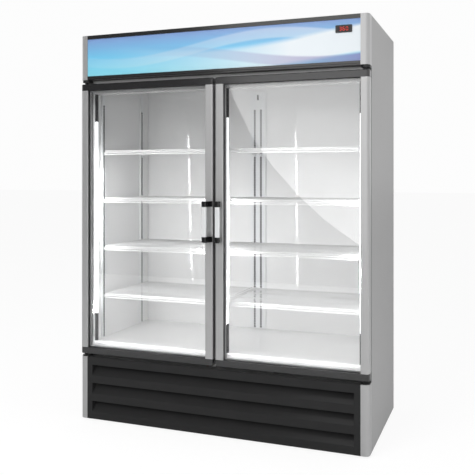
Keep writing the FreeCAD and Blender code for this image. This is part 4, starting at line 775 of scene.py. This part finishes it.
SCREEN = ((-7.0, -0.5), (4.0, -0.5), (4.0, 6.0), (-7.0, 6.0))
SCREEN_Y = -5.2
SCREEN_LEVEL = 0.10
SOFTBOX = (
    (-1.62, 3.2), (-1.50, 2.62), (-1.327, 2.091), (-1.13, 1.70), (-0.894, 1.377), (-0.62, 1.08),
    (-0.36, 0.85), (-0.079, 0.651), (0.30, 0.42), (0.9, 0.30), (2.6, 0.30), (2.6, 3.2),
)
SOFTBOX_Y = -4.0
SOFTBOX_LEVEL = 1.6
OVERHEAD = ((-0.75, -3.4), (3.0, -3.4), (3.0, -1.0), (-0.35, -1.0))
OVERHEAD_Z = 3.4
OVERHEAD_LEVEL = 1.7
CEILING = ((-7.0, -5.2), (4.0, -5.2), (4.0, 1.0), (-7.0, 1.0))
CEILING_Z = 3.5
CEILING_LEVEL = 0.25
card("dim_screen", [(x, SCREEN_Y, z) for x, z in SCREEN], SCREEN_LEVEL)
card("softbox", [(x, SOFTBOX_Y, z) for x, z in SOFTBOX], SOFTBOX_LEVEL)
card("overhead", [(x, y, OVERHEAD_Z) for x, y in OVERHEAD], OVERHEAD_LEVEL)
card("dim_ceiling", [(x, y, CEILING_Z) for x, y in CEILING], CEILING_LEVEL)


def lamp(name, place, target, size, power):
    """A soft lamp that looks from a place to a target and shows neither to the camera nor in mirrors."""
    light = bpy.data.lights.new(name, "AREA")
    light.shape = "RECTANGLE"
    light.size, light.size_y = size
    light.energy = power
    made = bpy.data.objects.new(name, light)
    made.location = place
    made.rotation_euler = (Vector(target) - Vector(place)).to_track_quat("-Z", "Y").to_euler()
    made.visible_camera = False
    made.visible_glossy = False
    bpy.context.scene.collection.objects.link(made)
    return made


STUDIO_LAMPS = (
    ("front_light", (-1.6, -4.6, 3.6), (0, 0, 1.4), (2.4, 2.0), 66.0),
    ("fill_light", (-1.2, -5.0, 2.4), (0, 0, 1.0), (2.6, 1.2), 30.0),
    ("low_light", (0.3, -2.6, 0.35), (0, -0.34, 0.16), (2.2, 0.4), 3.0),
    ("side_light", (3.4, -0.7, 0.3), (0.76, 0, 0.3), (1.6, 0.8), 34.0),
    ("top_light", (0.0, -0.6, 4.6), (0, 0, 1.0), (2.6, 2.0), 20.0),
)
for values in STUDIO_LAMPS:
    lamp(*values)

# Light of the bays: narrow lamps along the tubes, of which one in each bay shows in the back wall's gloss.
# Small lamps also brighten the sills, the shelf fronts and the jambs, as the tubes do close by.
BAY_MIDDLE = 0.380
TUBE_OFFSET = 0.318
TUBE_Y = -0.262
AIM_INWARDS = 0.1
AIM_Y = 0.3
TUBE_LEVEL = 1.02
TUBE_AIM_LEVEL = 0.97
TUBE_SIZE = (0.005, 0.6)
TUBE_POWER = 0.95
GLINT_LEVEL = 1.054
GLINT_AIM_LEVEL = 1.0
GLINT_SIZE = (0.005, 1.018)
GLINT_POWER = 1.1
SILL_PLACE = (-0.300, 0.415)
SILL_AIM = (-0.24, 0.36)
SILL_SIZE = (0.66, 0.006)
SILL_POWER = 0.24
SHELF_Y = -0.288
SHELF_SIZE = (0.64, 0.02)
SHELF_LIGHTS = ((1, 0.0, 0.34), (2, 0.3, 0.24), (3, 0.3, 0.24), (4, 0.3, 0.38))
NOSE_DROP = 0.01
JAMB_PLACE = (0.690, -0.300)
JAMB_AIM = (0.72, -0.27)
JAMB_LEVEL = 1.05
JAMB_SIZE = (0.006, 1.2)
JAMB_POWER = 0.13
for word, middle in (("left", -BAY_MIDDLE), ("right", BAY_MIDDLE)):
    for way in (-1, 1):
        x = middle + TUBE_OFFSET * way
        target = (x - AIM_INWARDS * way, AIM_Y, TUBE_AIM_LEVEL)
        lamp("tube_light", (x, TUBE_Y, TUBE_LEVEL), target, TUBE_SIZE, TUBE_POWER)
    x = middle - TUBE_OFFSET
    target = (x + AIM_INWARDS, AIM_Y, GLINT_AIM_LEVEL)
    glint = lamp("tube_glint", (x, TUBE_Y, GLINT_LEVEL), target, GLINT_SIZE, GLINT_POWER)
    glint.visible_glossy = True
    glint.visible_diffuse = False
    lamp("sill_light", (middle, *SILL_PLACE), (middle, *SILL_AIM), SILL_SIZE, SILL_POWER)
    for number, fall, power in SHELF_LIGHTS:
        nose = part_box(f"{word}_shelf_{number}")[1].z - NOSE_DROP
        lamp("shelf_light", (middle, SHELF_Y, nose), (middle, 0, nose - fall), SHELF_SIZE, power)

for way in (-1, 1):
    place = (JAMB_PLACE[0] * way, JAMB_PLACE[1], JAMB_LEVEL)
    target = (JAMB_AIM[0] * way, JAMB_AIM[1], JAMB_LEVEL)
    lamp("jamb_light", place, target, JAMB_SIZE, JAMB_POWER)

# Camera: held level in front of the right half and turned to the cabinet.
# Its place, lens and shift were fitted to the corners of the cabinet.
CAMERA_PLACE = (1.32707, -3.51769, 1.26285)
CAMERA_TURN = math.radians(20.7675)
SENSOR = 36.0
FOCAL_PIXELS = 705.62
PICTURE_PIXELS = 475
SHIFT_UP = -0.1248
camera_data = bpy.data.cameras.new("camera")
camera_data.sensor_width = SENSOR
camera_data.lens = FOCAL_PIXELS / PICTURE_PIXELS * SENSOR
camera_data.shift_y = SHIFT_UP
camera = bpy.data.objects.new("camera", camera_data)
camera.location = CAMERA_PLACE
camera.rotation_euler = (math.pi / 2, 0, CAMERA_TURN)
bpy.context.scene.collection.objects.link(camera)
bpy.context.scene.camera = camera
bpy.context.scene.view_settings.view_transform = "Standard"
